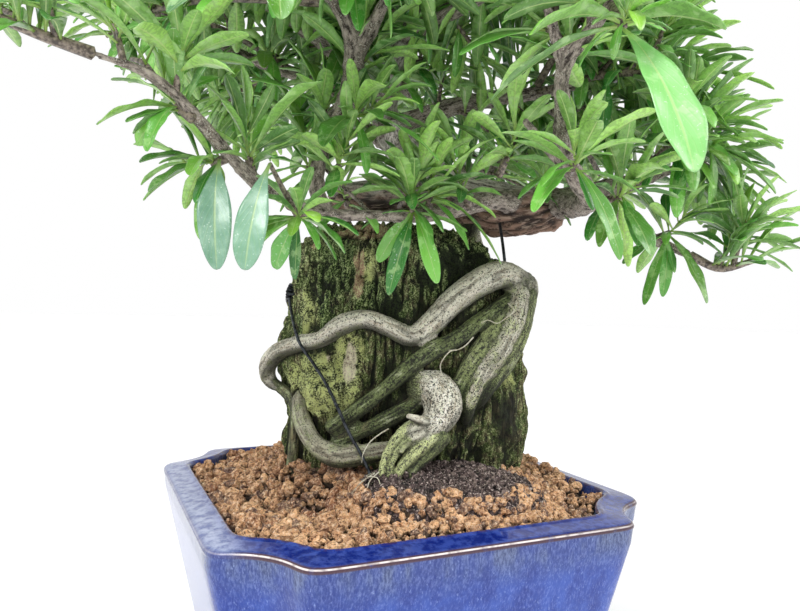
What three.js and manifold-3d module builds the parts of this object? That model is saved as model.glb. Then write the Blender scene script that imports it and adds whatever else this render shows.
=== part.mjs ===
// Firethorn bonsai grown root over rock, in a square glazed pot with scooped corners.
// Millimetres, +Z up. The walls of the pot lie along X and Y. The planting is turned about
// the middle of the pot, so the plant has its own group: x to the right of its front, y away
// from its front, and z up from the rim of the pot.

import * as THREE from 'three';
import { mergeVertices } from 'three/addons/utils/BufferGeometryUtils.js';
import Module from 'manifold-3d';

const wasm = await Module();
wasm.setup();

// Pot
const POT_WIDTH = 150;
const POT_HEIGHT = 98;
const SCOOP_RADIUS = 20.5;
const TIP_CHAMFER = 1.6;
const LIP_HEIGHT = 7;
const LIP_SLOPE = 0.1;
const WALL_SLOPE = 0.23;
const RIM_WIDTH = 9.5;
const WALL_THICKNESS = 7;
const RIM_RISE = 1.2;
const FOOT_HEIGHT = 7;
const FOOT_WIDTH = 26;
const FLOOR_THICKNESS = 7;
const DRAIN_DIAMETER = 18;
const SCOOP_SEGMENTS = 4;

// Drain mesh
const MESH_WIDTH = 28;
const MESH_THICKNESS = 1;
const MESH_HOLE = 5;
const MESH_PITCH = 7;
const MESH_HOLES_ACROSS = 3;

// Planting
const CLEARANCE = 0.3;
const PLANT_TURN = THREE.MathUtils.degToRad(24.7);
const SOIL_EDGE = -0.8;
const SOIL_RISE = 10;
const SOIL_SLOPE_WIDTH = 34;
const SOIL_LEVEL = 2;
const GRAIN_PITCH = 6.6;
const GRAIN_SHIFT = 0.5;
const GRAIN_RELIEF = 2.5;

// Rock: height, then its left, right, front and back at that height
const ROCK_LEVELS = [
  [-14, -33, 47, -24, 38],
  [-2, -33, 48, -24, 39],
  [10, -33.5, 49.5, -25, 40],
  [22, -36, 50, -26, 41],
  [34, -39.5, 50, -27, 41],
  [46, -40, 47.5, -26.5, 40],
  [58, -38.5, 45, -25.5, 39],
  [68, -36.5, 43.5, -24.5, 38],
  [77, -34, 43, -23, 37],
  [85, -35, 39, -20, 35],
  [91, -34, 31, -16, 32],
  [94.5, -25, 23, -7, 24],
];
const ROCK_SIDES = 28;
const ROCK_SQUARENESS = 2.7;
const ROCK_RIDGE = 1.3;
const ROCK_ROUGH = 2.2;

// Muck mound at the foot of the rock
const MUCK_CENTRE = [22, -28, -3];
const MUCK_RADII = [33, 19, 15];
const MUCK_SIDES = 14;
const MUCK_RISES = [-0.14, 0.1, 0.32, 0.52, 0.72, 0.88];
const MUCK_LUMP = 0.13;

// Wires
const WIRE_RADIUS = 0.55;
const TIE_WIRE = [
  [-33, -7, 74], [-36, -9, 71.5], [-36.5, -10, 68], [-35, -14, 62.5], [-32.5, -20.5, 56.5],
  [-30.5, -23, 52], [-26, -26.5, 46.5], [-21, -29.5, 40], [-15.5, -33, 30.5], [-12, -35.5, 24],
  [-7.5, -37.5, 17], [-4, -40, 10], [-2.5, -42, 3], [-2, -42, -6],
];
const BACK_STRAND = [
  [-36.5, -10, 68], [-38.5, -3, 67], [-38.9, 8, 63], [-38, 20, 54], [-35.5, 29, 40],
  [-31, 35, 22], [-30, 37, 6], [-30, 37, -6],
];
const BOUGH_WIRE = [[39.5, -3, 99], [39.6, -7, 95], [40, -12, 88], [40.5, -14, 82], [40.8, -14, 78]];

// Roots and wood: each limb is a list of x, y, z and radius
const ROOTS = [
  // long pale root across the front of the rock, round its left side and into the soil
  [
    [47, -5, 74, 6], [40, -14, 77.5, 5.2], [30.5, -20, 74, 5], [21, -24.5, 67, 4.6], [14.5, -27, 60, 4.1],
    [8, -28, 55.5, 3.7], [0, -28.5, 58.5, 3.5], [-7.5, -28.5, 61, 3.4], [-15.5, -27.5, 59, 3.4],
    [-23.5, -24.5, 53.5, 3.1], [-31.5, -18.5, 51.5, 3], [-40, -11, 48, 3.1], [-45, -5, 41.5, 3.1],
    [-44, -3, 36.5, 2.7], [-38.5, -6, 33, 2.2], [-35, -10, 29, 2], [-35, -12, 20, 2], [-35, -13, 2, 2.2],
  ],
  // green root that runs down to a blunt end
  [
    [45, -12, 70, 3], [38, -18, 66, 2.7], [32, -23, 62, 2.7], [25, -27, 56.5, 2.9], [10.5, -30.5, 48, 2.9],
    [1, -31, 39.5, 2.8], [-8.5, -31, 31.5, 2.8], [-19, -27.5, 23.5, 2.9],
  ],
  // root under it, from behind the knee
  [[12, -26, 36, 3], [9.5, -29, 33, 3], [-3, -30.5, 26, 3], [-17, -27, 19.5, 2.7]],
  // low loop
  [
    [-32, -9, 33, 2.8], [-31, -15, 28, 3.2], [-28, -21, 22.5, 3.4], [-23, -27, 17.5, 3.5],
    [-15, -31, 15, 3.5], [-7, -32.5, 16.5, 3.4], [1, -32, 18, 3.2], [8, -30, 19, 3],
  ],
  // knee with its claw of toes
  [
    [9.5, -24, 38.5, 5], [17, -30, 43, 6.4], [23.5, -33, 38, 6.9], [24.5, -35.5, 31.5, 6.7],
    [20, -37.5, 26, 5.8], [14, -38, 24.5, 4.4], [10, -38.5, 23.5, 3.4],
  ],
  [[11, -38.5, 26, 2.8], [4.6, -41, 25, 1.9], [1.4, -42.6, 20.5, 1.8], [0, -43, 15, 1.6], [-0.6, -42.6, 3, 1.5]],
  [[14, -39, 23.5, 3], [10.3, -41.4, 20.3, 2.3], [6.6, -42.8, 17, 2], [4.8, -43.2, 13, 1.7], [4.4, -43, 4, 1.5]],
  [[18, -37, 24, 3.2], [14.3, -39.2, 19.8, 2.7], [10.8, -41, 16, 2.3], [8.6, -41.6, 12, 1.9], [8, -41.6, 4, 1.6]],
  [[17, -38, 30, 2], [12, -41, 30.5, 1.7], [8.5, -42, 31.2, 1.1]],
  // three strands down the right side, which end in the rock behind the knee
  [
    [47, -6, 70, 7.2], [46.4, -14, 62, 5.6], [44.5, -19, 54, 4.4], [40.5, -22.5, 46.5, 4],
    [36, -24.5, 40.5, 3.6], [31.5, -23.5, 33.5, 3],
  ],
  [
    [45, -14, 66, 4], [42.5, -20, 59.5, 3.7], [38.3, -24, 51.8, 3.5], [33, -27, 44.1, 3.4],
    [28.6, -28.6, 36.5, 3.1], [27.2, -26.5, 29.5, 2.4],
  ],
  [
    [46, -9, 66, 4.6], [38.8, -18.5, 61, 4], [33.3, -23.4, 53.5, 3.7], [27.8, -26.2, 46, 3.5],
    [23.6, -27.2, 38.5, 3.2], [20, -27, 31, 2.8],
  ],
  // thick shoulder that goes behind the top corner of the rock to the foot of the trunk
  [
    [45, -10, 74, 5.4], [47.5, -3, 72.5, 7.6], [47.5, 5, 72, 7.2], [43, 14, 74, 6.8], [37, 20, 79, 6.6],
    [32, 20, 88, 5], [30, 14, 97, 4.6], [30, 8, 103, 6],
  ],
];
const TRUNK = [
  [61, -7, 104, 6.6], [55, -5, 102.5, 8.6], [48, -2, 102, 9.6], [38, 3, 104, 9.6], [26, 10, 109, 8.8],
  [14, 20, 118, 7.8], [3, 29, 130, 7], [-5, 30, 146, 6], [-2, 22, 162, 5.2], [6, 12, 178, 4.4],
  [5, 5, 192, 3.4], [-1, 1, 206, 2],
];
const BOUGHS = [
  // low bough along the front, to the left
  [
    [48, -5, 104, 4.4], [36, -14, 104, 3.6], [26, -22, 100.5, 3.2], [11, -32, 96, 2.8], [-3.5, -42, 94, 2.3],
    [-18.5, -50, 93.2, 2.6], [-25, -54, 93, 3], [-30, -60, 96, 3], [-38, -68, 100, 3.1],
    [-43, -75, 105, 2.7], [-49, -84, 111, 3.1], [-52, -90, 115, 2.6], [-57, -97, 120, 2.2],
    [-67, -102, 126, 1.4],
  ],
  // upright from it, forked at the top
  [
    [-20, -50, 94, 3.4], [-23, -47, 101, 3.4], [-23, -45, 109, 3], [-19, -46, 120, 3.3], [-14, -48, 131, 3.4],
    [-12.5, -50, 138, 4.2], [-13, -52, 146, 3.2], [-19, -58, 156, 2.5], [-30, -70, 170, 1.4],
  ],
  [[-12.5, -50, 139, 3.6], [-6, -55, 150, 2.7], [3, -66, 164, 1.4]],
  [[-22, -42, 109, 1], [-14, -39, 102, 0.9], [-6, -41, 94.5, 1]],
  // stump and knobs of old wood above the rock
  [[14, 17, 114, 7.6], [0, 15, 109, 7.6], [-12, 11, 107, 7.4], [-23, 8, 107, 6]],
  [[7, 16, 114, 5], [7, 6, 116.5, 5], [7, 1, 117, 3.4]],
  [[20, 10, 109, 5], [18.5, 3, 110.5, 4.6], [18, -2, 111, 3.2]],
  [[1, 28, 132, 5], [0, 19, 135, 4.4], [0, 13, 136, 3]],
  // boughs round the crown
  [[-6, 28, 138, 4.4], [10, 24, 143, 4], [30, 20, 148, 3.6], [56, 14, 151, 2.6], [84, 10, 156, 1.5]],
  [[60, -7, 104, 5.6], [74, -10, 108, 4.4], [88, -7, 113, 3.2], [102, -3, 118, 1.8]],
  [[70, -9, 107, 3.4], [82, -13, 98, 2.6], [93, -15, 91.5, 2.2], [105, -17, 86, 1.4]],
  [
    [60, -8, 104, 5.6], [63, -26, 101.5, 4.4], [61, -48, 100, 4], [57, -60, 100.5, 4], [52, -66, 104, 3.9],
    [47.5, -71, 110, 3.7], [45, -79, 119, 3.5], [43.5, -86, 127, 3.6], [48, -94, 134, 2.9],
    [55, -101, 143, 2.2], [62, -103, 154, 1.4],
  ],
  [[43.5, -86, 127, 3.2], [39, -92, 136, 2.5], [32, -98, 150, 1.4]],
  [[53, -65, 103, 2.6], [48, -65, 108, 2.3], [43.5, -64, 113, 2.1], [38, -62, 120, 1.4]],
  [[-5, 30, 146, 4.4], [-20, 24, 151, 3.6], [-45, 12, 157, 2.8], [-84, 0, 166, 1.5]],
  [[3, 29, 130, 5], [-12, 48, 142, 3.8], [-35, 64, 154, 2.8], [-62, 78, 164, 1.5]],
  [[18, 17, 115, 5], [36, 38, 124, 4], [54, 58, 133, 2.9], [70, 75, 141, 1.6]],
  [[-2, 26, 155, 4], [4, 50, 161, 3.1], [8, 84, 168, 1.6]],
  [[-4, 26, 152, 4], [-24, -2, 160, 3], [-54, -38, 170, 1.5]],
  [[3, 14, 172, 3.6], [22, -10, 173, 2.8], [52, -44, 178, 1.5]],
  [[6, 12, 178, 3.6], [7, -14, 184, 2.7], [4, -56, 191, 1.5]],
  [[6, 10, 180, 3.4], [30, 8, 186, 2.6], [66, 2, 191, 1.5]],
  [[5, 7, 190, 3], [-20, 2, 197, 2.3], [-48, -6, 200, 1.4]],
  [[5, 6, 192, 2.8], [1, 42, 203, 1.4]],
];

// Leafy sprays that the front of the tree shows: where the spur grows from, its end, and then
// each leaf as its tip, full width and arch. A positive arch lifts the leaf, a negative one
// bows it towards the front.
const FRONT_SPRAYS = [
  {
    name: 'left_end', from: [-50, -86, 112], node: [-54, -85, 115],
    leaves: [[-69, -98, 107, 6, 5], [-67, -78, 107, 6, -4], [-57, -98, 101, 5, 6],
      [-68, -82, 122, 5.6, 4], [-52, -96, 131, 5.6, -3], [-44, -78, 130, 5, 6]],
  },
  {
    name: 'left_knee', from: [-43, -75, 105], node: [-47, -75, 103],
    leaves: [[-64, -84, 101, 5, 4], [-60, -88, 93, 6, 4], [-42, -95, 74, 8.4, -7],
      [-50, -74, 82, 6, -4], [-49, -90, 97, 6, 6]],
  },
  {
    name: 'left_fork', from: [-38, -68, 100], node: [-39, -70, 105],
    leaves: [[-17, -90, 121, 6.5, 7], [-24, -60, 112, 5, 3], [-44, -78, 126, 6, 6], [-34, -54, 123, 6, 4]],
  },
  {
    name: 'left_drop', from: [-27, -57, 94], node: [-26, -64, 90],
    leaves: [[-36, -90, 75, 8.4, -8], [-34, -54, 76, 6, -4], [-44, -60, 84, 6, -4], [-12, -70, 80, 6, 5]],
  },
  {
    name: 'upright_low', from: [-23, -46, 104], node: [-26, -43, 108],
    leaves: [[-42, -40, 97, 5.6, 4], [-34, -56, 119, 5.6, 5], [-36, -32, 120, 5.6, 4], [-20, -62, 112, 5, 6]],
  },
  {
    name: 'upright_mid', from: [-17, -47, 124], node: [-12, -50, 123],
    leaves: [[15, -50, 117, 5.6, 7], [14, -60, 108, 5.6, 8], [-18, -76, 108, 7.4, -6],
      [-2, -72, 126, 6, 6], [4, -42, 138, 6, 4]],
  },
  {
    name: 'centre_left', from: [7, -35, 95], node: [7, -39, 96.5],
    leaves: [[0, -47, 69, 5.6, -6], [15, -46, 73, 5.4, -6], [-10, -47, 106, 7, 5], [2, -60, 109, 6.5, 5],
      [-4, -33, 80, 5.6, -3]],
  },
  {
    name: 'centre_right', from: [12, -32, 96], node: [12.5, -35, 101],
    leaves: [[25, -41, 84, 5.6, 5], [34, -36, 95, 4.6, 7], [36, -37, 80, 5, 11], [32, -54, 117, 4.6, 7],
      [4, -42, 116, 5, 4]],
  },
  {
    name: 'trunk_front', from: [50, -6, 104], node: [53, -15, 110],
    leaves: [[27, -20, 122, 5.6, 3], [28, -26, 109, 5.4, 3], [50, -38, 100, 4.4, 4], [56, -36, 126, 5.6, 5],
      [74, -26, 122, 5.6, 4]],
  },
  {
    name: 'fork_low', from: [51, -67, 104], node: [49, -77, 104],
    leaves: [[28, -88, 110, 6, 4], [59, -86, 79, 5, -8], [66, -90, 116, 6, 5], [36, -90, 90, 5.6, 5],
      [48, -102, 110, 5, -6]],
  },
  {
    name: 'right_near', from: [62, -36, 101], node: [69, -50, 100],
    leaves: [[74, -66, 82, 6.4, -5], [60, -64, 84, 5.4, 4], [84, -60, 112, 6, 5], [74, -76, 104, 8, 7],
      [70, -58, 124, 6.4, 4], [76, -40, 80, 4.6, 5]],
  },
  {
    name: 'right_low', from: [93, -15, 91.5], node: [96, -20, 93],
    leaves: [[85, -30, 68, 4.4, 3], [104, -34, 69, 6, 5], [94, -22, 71, 4.4, -3], [92, -2, 80, 5.4, 4],
      [80, -22, 82, 5, 3], [112, -26, 100, 6, 5]],
  },
  {
    name: 'high_left', from: [-22, -63.8, 158.8], node: [-28, -88, 150],
    leaves: [[-48, -112, 128, 8.4, 7], [-24, -110, 128, 8.4, -6], [-10, -108, 146, 7, 5],
      [-40, -104, 150, 7, 5]],
  },
  {
    name: 'high_right', from: [52, -98, 138], node: [50, -112, 128],
    leaves: [[57, -136, 92, 9.4, -8], [28, -126, 120, 8.4, 6], [22, -112, 111, 6, 6],
      [66, -126, 122, 7.4, 5]],
  },
];

// Sprays round the rest of the crown: one goes on from the end of each bough, and the others
// reach places on a dome
const DOME_SPRAYS = 16;
const CROWN_BASE = 114;
const CROWN_RADIUS = 108;
const CROWN_RISE = 98;
const TIP_TWIG = 22;
// Dome twigs that are turned to pass clear of another twig, by their order
const DOME_TURNS = { 2: 0.8, 6: 0.25, 10: 0.6 };
const GOLDEN_ANGLE = 2.39996;
const LEAVES_PER_TWIG = 24;
const LEAVES_KEPT = 6;
const TWIG_RADIUS = 1.5;
const TWIG_SIDES = 3;
const THINNEST_FOOT = 2.7;
const THICKEST_END = 2.2;
const LEAF_LENGTH = 24;
const LEAF_WIDTH = 6.6;
const LEAF_KEEL = 0.9;
// Leaves cover this share of the twig from its tip. Those of the tuft at the tip lean forwards,
// and the others stand out to the side, as angles to the twig.
const LEAFY_SHARE = 0.72;
const LEAVES_IN_TUFT = 9;
const LEAF_SPREAD = [0.35, 1.3];
const LEAF_SIZES = [0.82, 1.18];
const LEAF_DROOP = 0.12;

// The front is meant to be seen from here; the underside of the crown rises along the sight
// lines, as tangents over the sideways tangent.
const VIEW_POINT = [3.6, -263, 67];
const UNDERSIDE = [[-0.46, 0.35], [-0.38, 0.29], [-0.31, 0.24], [-0.26, 0.21], [-0.2, 0.17], [-0.12, 0.135],
  [0.3, 0.135], [0.36, 0.09], [0.44, 0.05]];
const FRONT_UNDERSIDE = 0.3;

const GLAZE = { color: 0x3a55b8, roughness: 0.16, metalness: 0 };
const PLASTIC = { color: 0x22252a, roughness: 0.6, metalness: 0 };
const AKADAMA = { color: 0xa8703c, roughness: 0.95, metalness: 0 };
const MUCK = { color: 0x2c2226, roughness: 1, metalness: 0 };
const STONE = { color: 0x4b5230, roughness: 0.95, metalness: 0 };
const BARK = { color: 0x8c8672, roughness: 0.85, metalness: 0 };
const WIRE = { color: 0x1f2226, roughness: 0.45, metalness: 0.8 };
const LEAF = { color: 0x3f8a2c, roughness: 0.35, metalness: 0 };

// Small vector and number helpers

const vec = (x, y, z) => new THREE.Vector3(x, y, z);
const vecOf = (values) => vec(values[0], values[1], values[2]);

// A number from 0 to 1 that depends only on its two indices
function chance(a, b) {
  const value = Math.sin(a * 127.1 + b * 311.7) * 43758.5453;
  return value - Math.floor(value);
}

// Piecewise linear reading of a table of rows, by its first column
function readTable(rows, x, column) {
  const last = rows.length - 1;
  if (x <= rows[0][0]) return rows[0][column];
  for (let k = 0; k < last; k++) {
    const [low, high] = [rows[k], rows[k + 1]];
    if (x <= high[0]) {
      const share = (x - low[0]) / (high[0] - low[0]);
      return low[column] + (high[column] - low[column]) * share;
    }
  }
  return rows[last][column];
}

// Solids

function solidOf(geometry) {
  const bare = geometry.clone();
  bare.deleteAttribute('normal');
  bare.deleteAttribute('uv');
  const merged = mergeVertices(bare, 1e-4);
  return new wasm.Manifold(new wasm.Mesh({
    numProp: 3,
    vertProperties: new Float32Array(merged.attributes.position.array),
    triVerts: new Uint32Array(merged.index.array),
  }));
}

function geometryOf(solid) {
  const mesh = solid.getMesh();
  const geometry = new THREE.BufferGeometry();
  geometry.setAttribute('position', new THREE.BufferAttribute(new Float32Array(mesh.vertProperties), 3));
  geometry.setIndex(new THREE.BufferAttribute(new Uint32Array(mesh.triVerts), 1));
  geometry.computeVertexNormals();
  return geometry;
}

const join = (solids) => solids.reduce((whole, solid) => whole.add(solid));
const cut = (solid, tools) => tools.reduce((rest, tool) => rest.subtract(tool), solid);

// The largest of the separate bodies in a solid
function mainBody(solid) {
  return solid.decompose().reduce((best, body) => (body.volume() > best.volume() ? body : best));
}

// A closed skin through rings of points, each counted anticlockwise about the way it goes.
// The last ring may be a single point. A small end is closed from one of its corners, and a
// large one from its middle.
const MOST_FANNED = 8;
function loft(rings) {
  const points = rings.flat();
  const starts = [];
  let count = 0;
  for (const ring of rings) {
    starts.push(count);
    count += ring.length;
  }
  const sides = Math.max(...rings.map((ring) => ring.length));
  const triangles = [];
  for (let k = 0; k + 1 < rings.length; k++) {
    for (let i = 0; i < sides; i++) {
      const j = (i + 1) % sides;
      const low = starts[k];
      const high = starts[k + 1];
      if (rings[k + 1].length === 1) {
        triangles.push(low + i, low + j, high);
      } else {
        triangles.push(low + i, low + j, high + j, low + i, high + j, high + i);
      }
    }
  }
  const closeEnd = (ring, start, forwards) => {
    if (ring.length === 1) return;
    const middle = ring.reduce((sum, p) => sum.add(p), vec(0, 0, 0)).divideScalar(sides);
    const hub = sides > MOST_FANNED ? points.push(middle) - 1 : start;
    for (let i = 0; i < sides; i++) {
      const j = (i + 1) % sides;
      if (hub === start + i || hub === start + j) continue;
      triangles.push(hub, forwards ? start + i : start + j, forwards ? start + j : start + i);
    }
  };
  closeEnd(rings[0], starts[0], false);
  closeEnd(rings.at(-1), starts.at(-1), true);
  const geometry = new THREE.BufferGeometry();
  geometry.setAttribute('position', new THREE.Float32BufferAttribute(points.flatMap((p) => p.toArray()), 3));
  geometry.setIndex(triangles);
  return solidOf(geometry);
}

// A round limb along knots of x, y, z and radius. Its sections turn as little as they can.
function limb(knots, sides, stepsPerKnot, grow = 0) {
  const curve = new THREE.CatmullRomCurve3(knots.map(vecOf), false, 'centripetal');
  const spans = knots.length - 1;
  const steps = spans * stepsPerKnot;
  let normal = null;
  const rings = [];
  for (let k = 0; k <= steps; k++) {
    const share = k / steps;
    const centre = curve.getPoint(share);
    const along = curve.getTangent(share);
    if (normal === null) {
      normal = Math.abs(along.z) > 0.8 ? vec(1, 0, 0) : vec(0, 0, 1);
    }
    normal = normal.clone().addScaledVector(along, -normal.dot(along)).normalize();
    const side = along.clone().cross(normal);
    const place = share * spans;
    const knot = Math.min(Math.floor(place), spans - 1);
    const radius = knots[knot][3] + (knots[knot + 1][3] - knots[knot][3]) * (place - knot) + grow;
    const overhang = (k === 0 ? -grow : 0) + (k === steps ? grow : 0);
    const ring = [];
    for (let i = 0; i < sides; i++) {
      const angle = (i / sides) * 2 * Math.PI;
      ring.push(centre.clone()
        .addScaledVector(normal, radius * Math.cos(angle))
        .addScaledVector(side, radius * Math.sin(angle))
        .addScaledVector(along, overhang));
    }
    rings.push(ring);
  }
  return loft(rings);
}

const named = (name, solid, look) => {
  const mesh = new THREE.Mesh(geometryOf(solid), new THREE.MeshStandardMaterial(look));
  mesh.name = name;
  return mesh;
};

// Pot

// Outline of the pot at a half width, drawn in all round by an inset: straight sides, and each
// corner scooped out by an arc about the corner of the outer outline
function potOutline(halfWidth, scoop, inset, z) {
  const ring = [];
  const radius = scoop + inset;
  const side = halfWidth - inset;
  const sideEnd = halfWidth - Math.sqrt(radius ** 2 - inset ** 2) - TIP_CHAMFER;
  const trim = Math.asin(inset / radius) + TIP_CHAMFER / radius;
  for (let corner = 0; corner < 4; corner++) {
    const turn = corner * (Math.PI / 2);
    const add = (x, y) => ring.push(vec(x, y, z).applyAxisAngle(vec(0, 0, 1), turn));
    add(side, sideEnd);
    for (let k = 0; k <= SCOOP_SEGMENTS; k++) {
      const angle = THREE.MathUtils.lerp(1.5 * Math.PI - trim, Math.PI + trim, k / SCOOP_SEGMENTS);
      add(halfWidth + radius * Math.cos(angle), halfWidth + radius * Math.sin(angle));
    }
    add(sideEnd, side);
  }
  return ring;
}

// Half width of the outer wall at a height above the table
function wallHalfWidth(z) {
  const down = POT_HEIGHT - z;
  const lip = Math.min(down, LIP_HEIGHT);
  return POT_WIDTH / 2 - lip * LIP_SLOPE - (down - lip) * WALL_SLOPE;
}

const scoopAt = (halfWidth) => (SCOOP_RADIUS * halfWidth) / (POT_WIDTH / 2);

// The outline of the outside, and of the hollow behind a wall of even thickness
function outerRing(z) {
  const half = wallHalfWidth(z);
  return potOutline(half, scoopAt(half), 0, z);
}
function innerRing(z, wall) {
  const half = wallHalfWidth(z);
  return potOutline(half, scoopAt(half), wall, z);
}

const FLOOR_TOP = FOOT_HEIGHT + FLOOR_THICKNESS;

// The hollow of the pot from its floor up to a height, drawn in by a gap
function potHollow(top, gap) {
  return loft([
    innerRing(FLOOR_TOP + gap, WALL_THICKNESS + gap),
    innerRing(POT_HEIGHT - 2.2 * LIP_HEIGHT, WALL_THICKNESS + gap),
    innerRing(POT_HEIGHT - LIP_HEIGHT, RIM_WIDTH + gap),
    innerRing(POT_HEIGHT, RIM_WIDTH + gap).map((p) => p.setZ(top)),
  ]);
}

function makePot() {
  const body = loft([
    outerRing(0),
    outerRing(POT_HEIGHT - 2 * LIP_HEIGHT),
    outerRing(POT_HEIGHT - LIP_HEIGHT),
    outerRing(POT_HEIGHT),
    innerRing(POT_HEIGHT, RIM_WIDTH).map((p) => p.setZ(POT_HEIGHT + RIM_RISE)),
  ]);
  const drain = new THREE.CylinderGeometry(DRAIN_DIAMETER / 2, DRAIN_DIAMETER / 2, 3 * FLOOR_THICKNESS, 16);
  drain.rotateX(Math.PI / 2).translate(0, 0, FOOT_HEIGHT);
  const between = 2 * (wallHalfWidth(0) - FOOT_WIDTH);
  const archX = new THREE.BoxGeometry(2 * POT_WIDTH, between, FOOT_HEIGHT);
  archX.translate(0, 0, 0.5 * FOOT_HEIGHT - 1);
  const archY = archX.clone().rotateZ(Math.PI / 2);
  return cut(body, [potHollow(2 * POT_HEIGHT, 0), solidOf(drain), solidOf(archX), solidOf(archY)]);
}

function makeDrainMesh() {
  const plate = new THREE.BoxGeometry(MESH_WIDTH, MESH_WIDTH, MESH_THICKNESS);
  const bottom = FLOOR_TOP + CLEARANCE;
  plate.translate(0, 0, bottom + MESH_THICKNESS / 2);
  const holes = [];
  const middle = (MESH_HOLES_ACROSS - 1) / 2;
  for (let i = 0; i < MESH_HOLES_ACROSS; i++) {
    for (let j = 0; j < MESH_HOLES_ACROSS; j++) {
      const hole = new THREE.BoxGeometry(MESH_HOLE, MESH_HOLE, 4 * MESH_THICKNESS);
      hole.translate((i - middle) * MESH_PITCH, (j - middle) * MESH_PITCH, bottom);
      holes.push(solidOf(hole));
    }
  }
  return cut(solidOf(plate), holes);
}

// Rock

// A point of the rock's skin: a squarish oval at each height, with upright ridges
function rockPoint(angle, z, grow) {
  const [left, right, front, back] = [1, 2, 3, 4].map((column) => readTable(ROCK_LEVELS, z, column));
  const ridge = Math.sin(9 * angle + 0.06 * z) + 0.7 * Math.sin(16 * angle - 0.04 * z + 1.3)
    + 0.8 * Math.sin(0.21 * z + 3 * angle);
  const rough = chance(Math.round(angle * 50), Math.round(z)) - 0.5;
  const bump = ROCK_RIDGE * ridge + ROCK_ROUGH * rough + grow;
  const c = Math.cos(angle);
  const s = Math.sin(angle);
  const oval = (Math.abs(c) ** ROCK_SQUARENESS + Math.abs(s) ** ROCK_SQUARENESS) ** (-1 / ROCK_SQUARENESS);
  return vec(
    (left + right) / 2 + c * (oval * (right - left) / 2 + bump),
    (front + back) / 2 + s * (oval * (back - front) / 2 + bump),
    z,
  );
}

function makeRock(grow) {
  const rings = ROCK_LEVELS.map(([z]) => {
    const top = z === ROCK_LEVELS.at(-1)[0];
    const ring = [];
    for (let i = 0; i < ROCK_SIDES; i++) {
      const angle = (i / ROCK_SIDES) * 2 * Math.PI;
      ring.push(rockPoint(angle, z, grow).setZ(z + (top ? grow : 0)));
    }
    return ring;
  });
  for (const p of rings[0]) p.setZ(p.z - grow);
  return loft(rings);
}

// Soil and muck

// From the pot's own axes to the axes of the plant
function plantPoint(x, y, z) {
  return vec(x, y, z).applyAxisAngle(vec(0, 0, 1), PLANT_TURN);
}

// Height of the soil over the rim: level at the wall and rising towards the rock
function soilHeight(x, y) {
  const [, left, right, front, back] = ROCK_LEVELS[SOIL_LEVEL];
  const sideways = (2 * x - left - right) / (right - left);
  const forwards = (2 * y - front - back) / (back - front);
  const away = Math.hypot(sideways, forwards) - 1;
  const distance = Math.max(0, (away * (right - left)) / 2);
  const rise = THREE.MathUtils.smoothstep(1 - distance / SOIL_SLOPE_WIDTH, 0, 1);
  return SOIL_EDGE + SOIL_RISE * rise;
}

function makeSoilBed() {
  const half = POT_WIDTH / 2 - RIM_WIDTH + 1;
  const cells = Math.ceil((2 * half) / GRAIN_PITCH);
  const floor = -POT_HEIGHT;
  const points = [];
  for (let i = 0; i <= cells; i++) {
    for (let j = 0; j <= cells; j++) {
      const inside = i > 0 && j > 0 && i < cells && j < cells;
      const shift = inside ? GRAIN_SHIFT * GRAIN_PITCH : 0;
      const x = -half + (2 * half * i) / cells + shift * (chance(i, j + 40) - 0.5);
      const y = -half + (2 * half * j) / cells + shift * (chance(i + 40, j) - 0.5);
      const p = plantPoint(x, y, 0);
      const high = (i + j) % 2 === 0 ? 0.25 : -0.25;
      const relief = GRAIN_RELIEF * (high + chance(i, j) - 0.5);
      points.push(p.setZ(soilHeight(p.x, p.y) + relief));
    }
  }
  const edge = [];
  for (let k = 0; k < cells; k++) edge.push(k * (cells + 1));
  for (let k = 0; k < cells; k++) edge.push(cells * (cells + 1) + k);
  for (let k = cells; k > 0; k--) edge.push(k * (cells + 1) + cells);
  for (let k = cells; k > 0; k--) edge.push(k);
  const triangles = [];
  for (let i = 0; i < cells; i++) {
    for (let j = 0; j < cells; j++) {
      const a = i * (cells + 1) + j;
      const b = a + cells + 1;
      triangles.push(a, b, b + 1, a, b + 1, a + 1);
    }
  }
  const low = points.length;
  edge.forEach((k) => points.push(points[k].clone().setZ(floor)));
  const hub = points.push(vec(0, 0, floor)) - 1;
  edge.forEach((top, k) => {
    const next = (k + 1) % edge.length;
    triangles.push(top, low + k, low + next, top, low + next, edge[next], hub, low + next, low + k);
  });
  const geometry = new THREE.BufferGeometry();
  geometry.setAttribute('position', new THREE.Float32BufferAttribute(points.flatMap((p) => p.toArray()), 3));
  geometry.setIndex(triangles);
  return solidOf(geometry);
}

// A low heap of crumbs: flat underneath, each ring of its dome lumpy
function makeMuck(grow) {
  const rings = MUCK_RISES.map((rise, k) => {
    const ring = [];
    for (let i = 0; i < MUCK_SIDES; i++) {
      const angle = ((i + 0.5 * (k % 2)) / MUCK_SIDES) * 2 * Math.PI;
      const lump = 1 + MUCK_LUMP * (chance(k + 3, i) - 0.5);
      const out = Math.cos(rise * 0.5 * Math.PI) * lump;
      ring.push(vec(
        MUCK_CENTRE[0] + (MUCK_RADII[0] * out + grow) * Math.cos(angle),
        MUCK_CENTRE[1] + (MUCK_RADII[1] * out + grow) * Math.sin(angle),
        MUCK_CENTRE[2] + MUCK_RADII[2] * Math.sin(rise * 0.5 * Math.PI) * lump + (k === 0 ? -grow : grow),
      ));
    }
    return ring;
  });
  rings.push([vec(...MUCK_CENTRE).add(vec(0, 0, MUCK_RADII[2] + grow))]);
  return loft(rings);
}

// Wood and wires

function makeWood(grow) {
  const roots = ROOTS.map((knots) => limb(knots, 6, 1, grow));
  const trunk = limb(TRUNK, 8, 1, grow);
  const boughs = BOUGHS.map((knots) => limb(knots, knots[0][3] > 4.5 ? 6 : 5, 1, grow));
  return join([...roots, trunk, ...boughs]);
}

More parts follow.
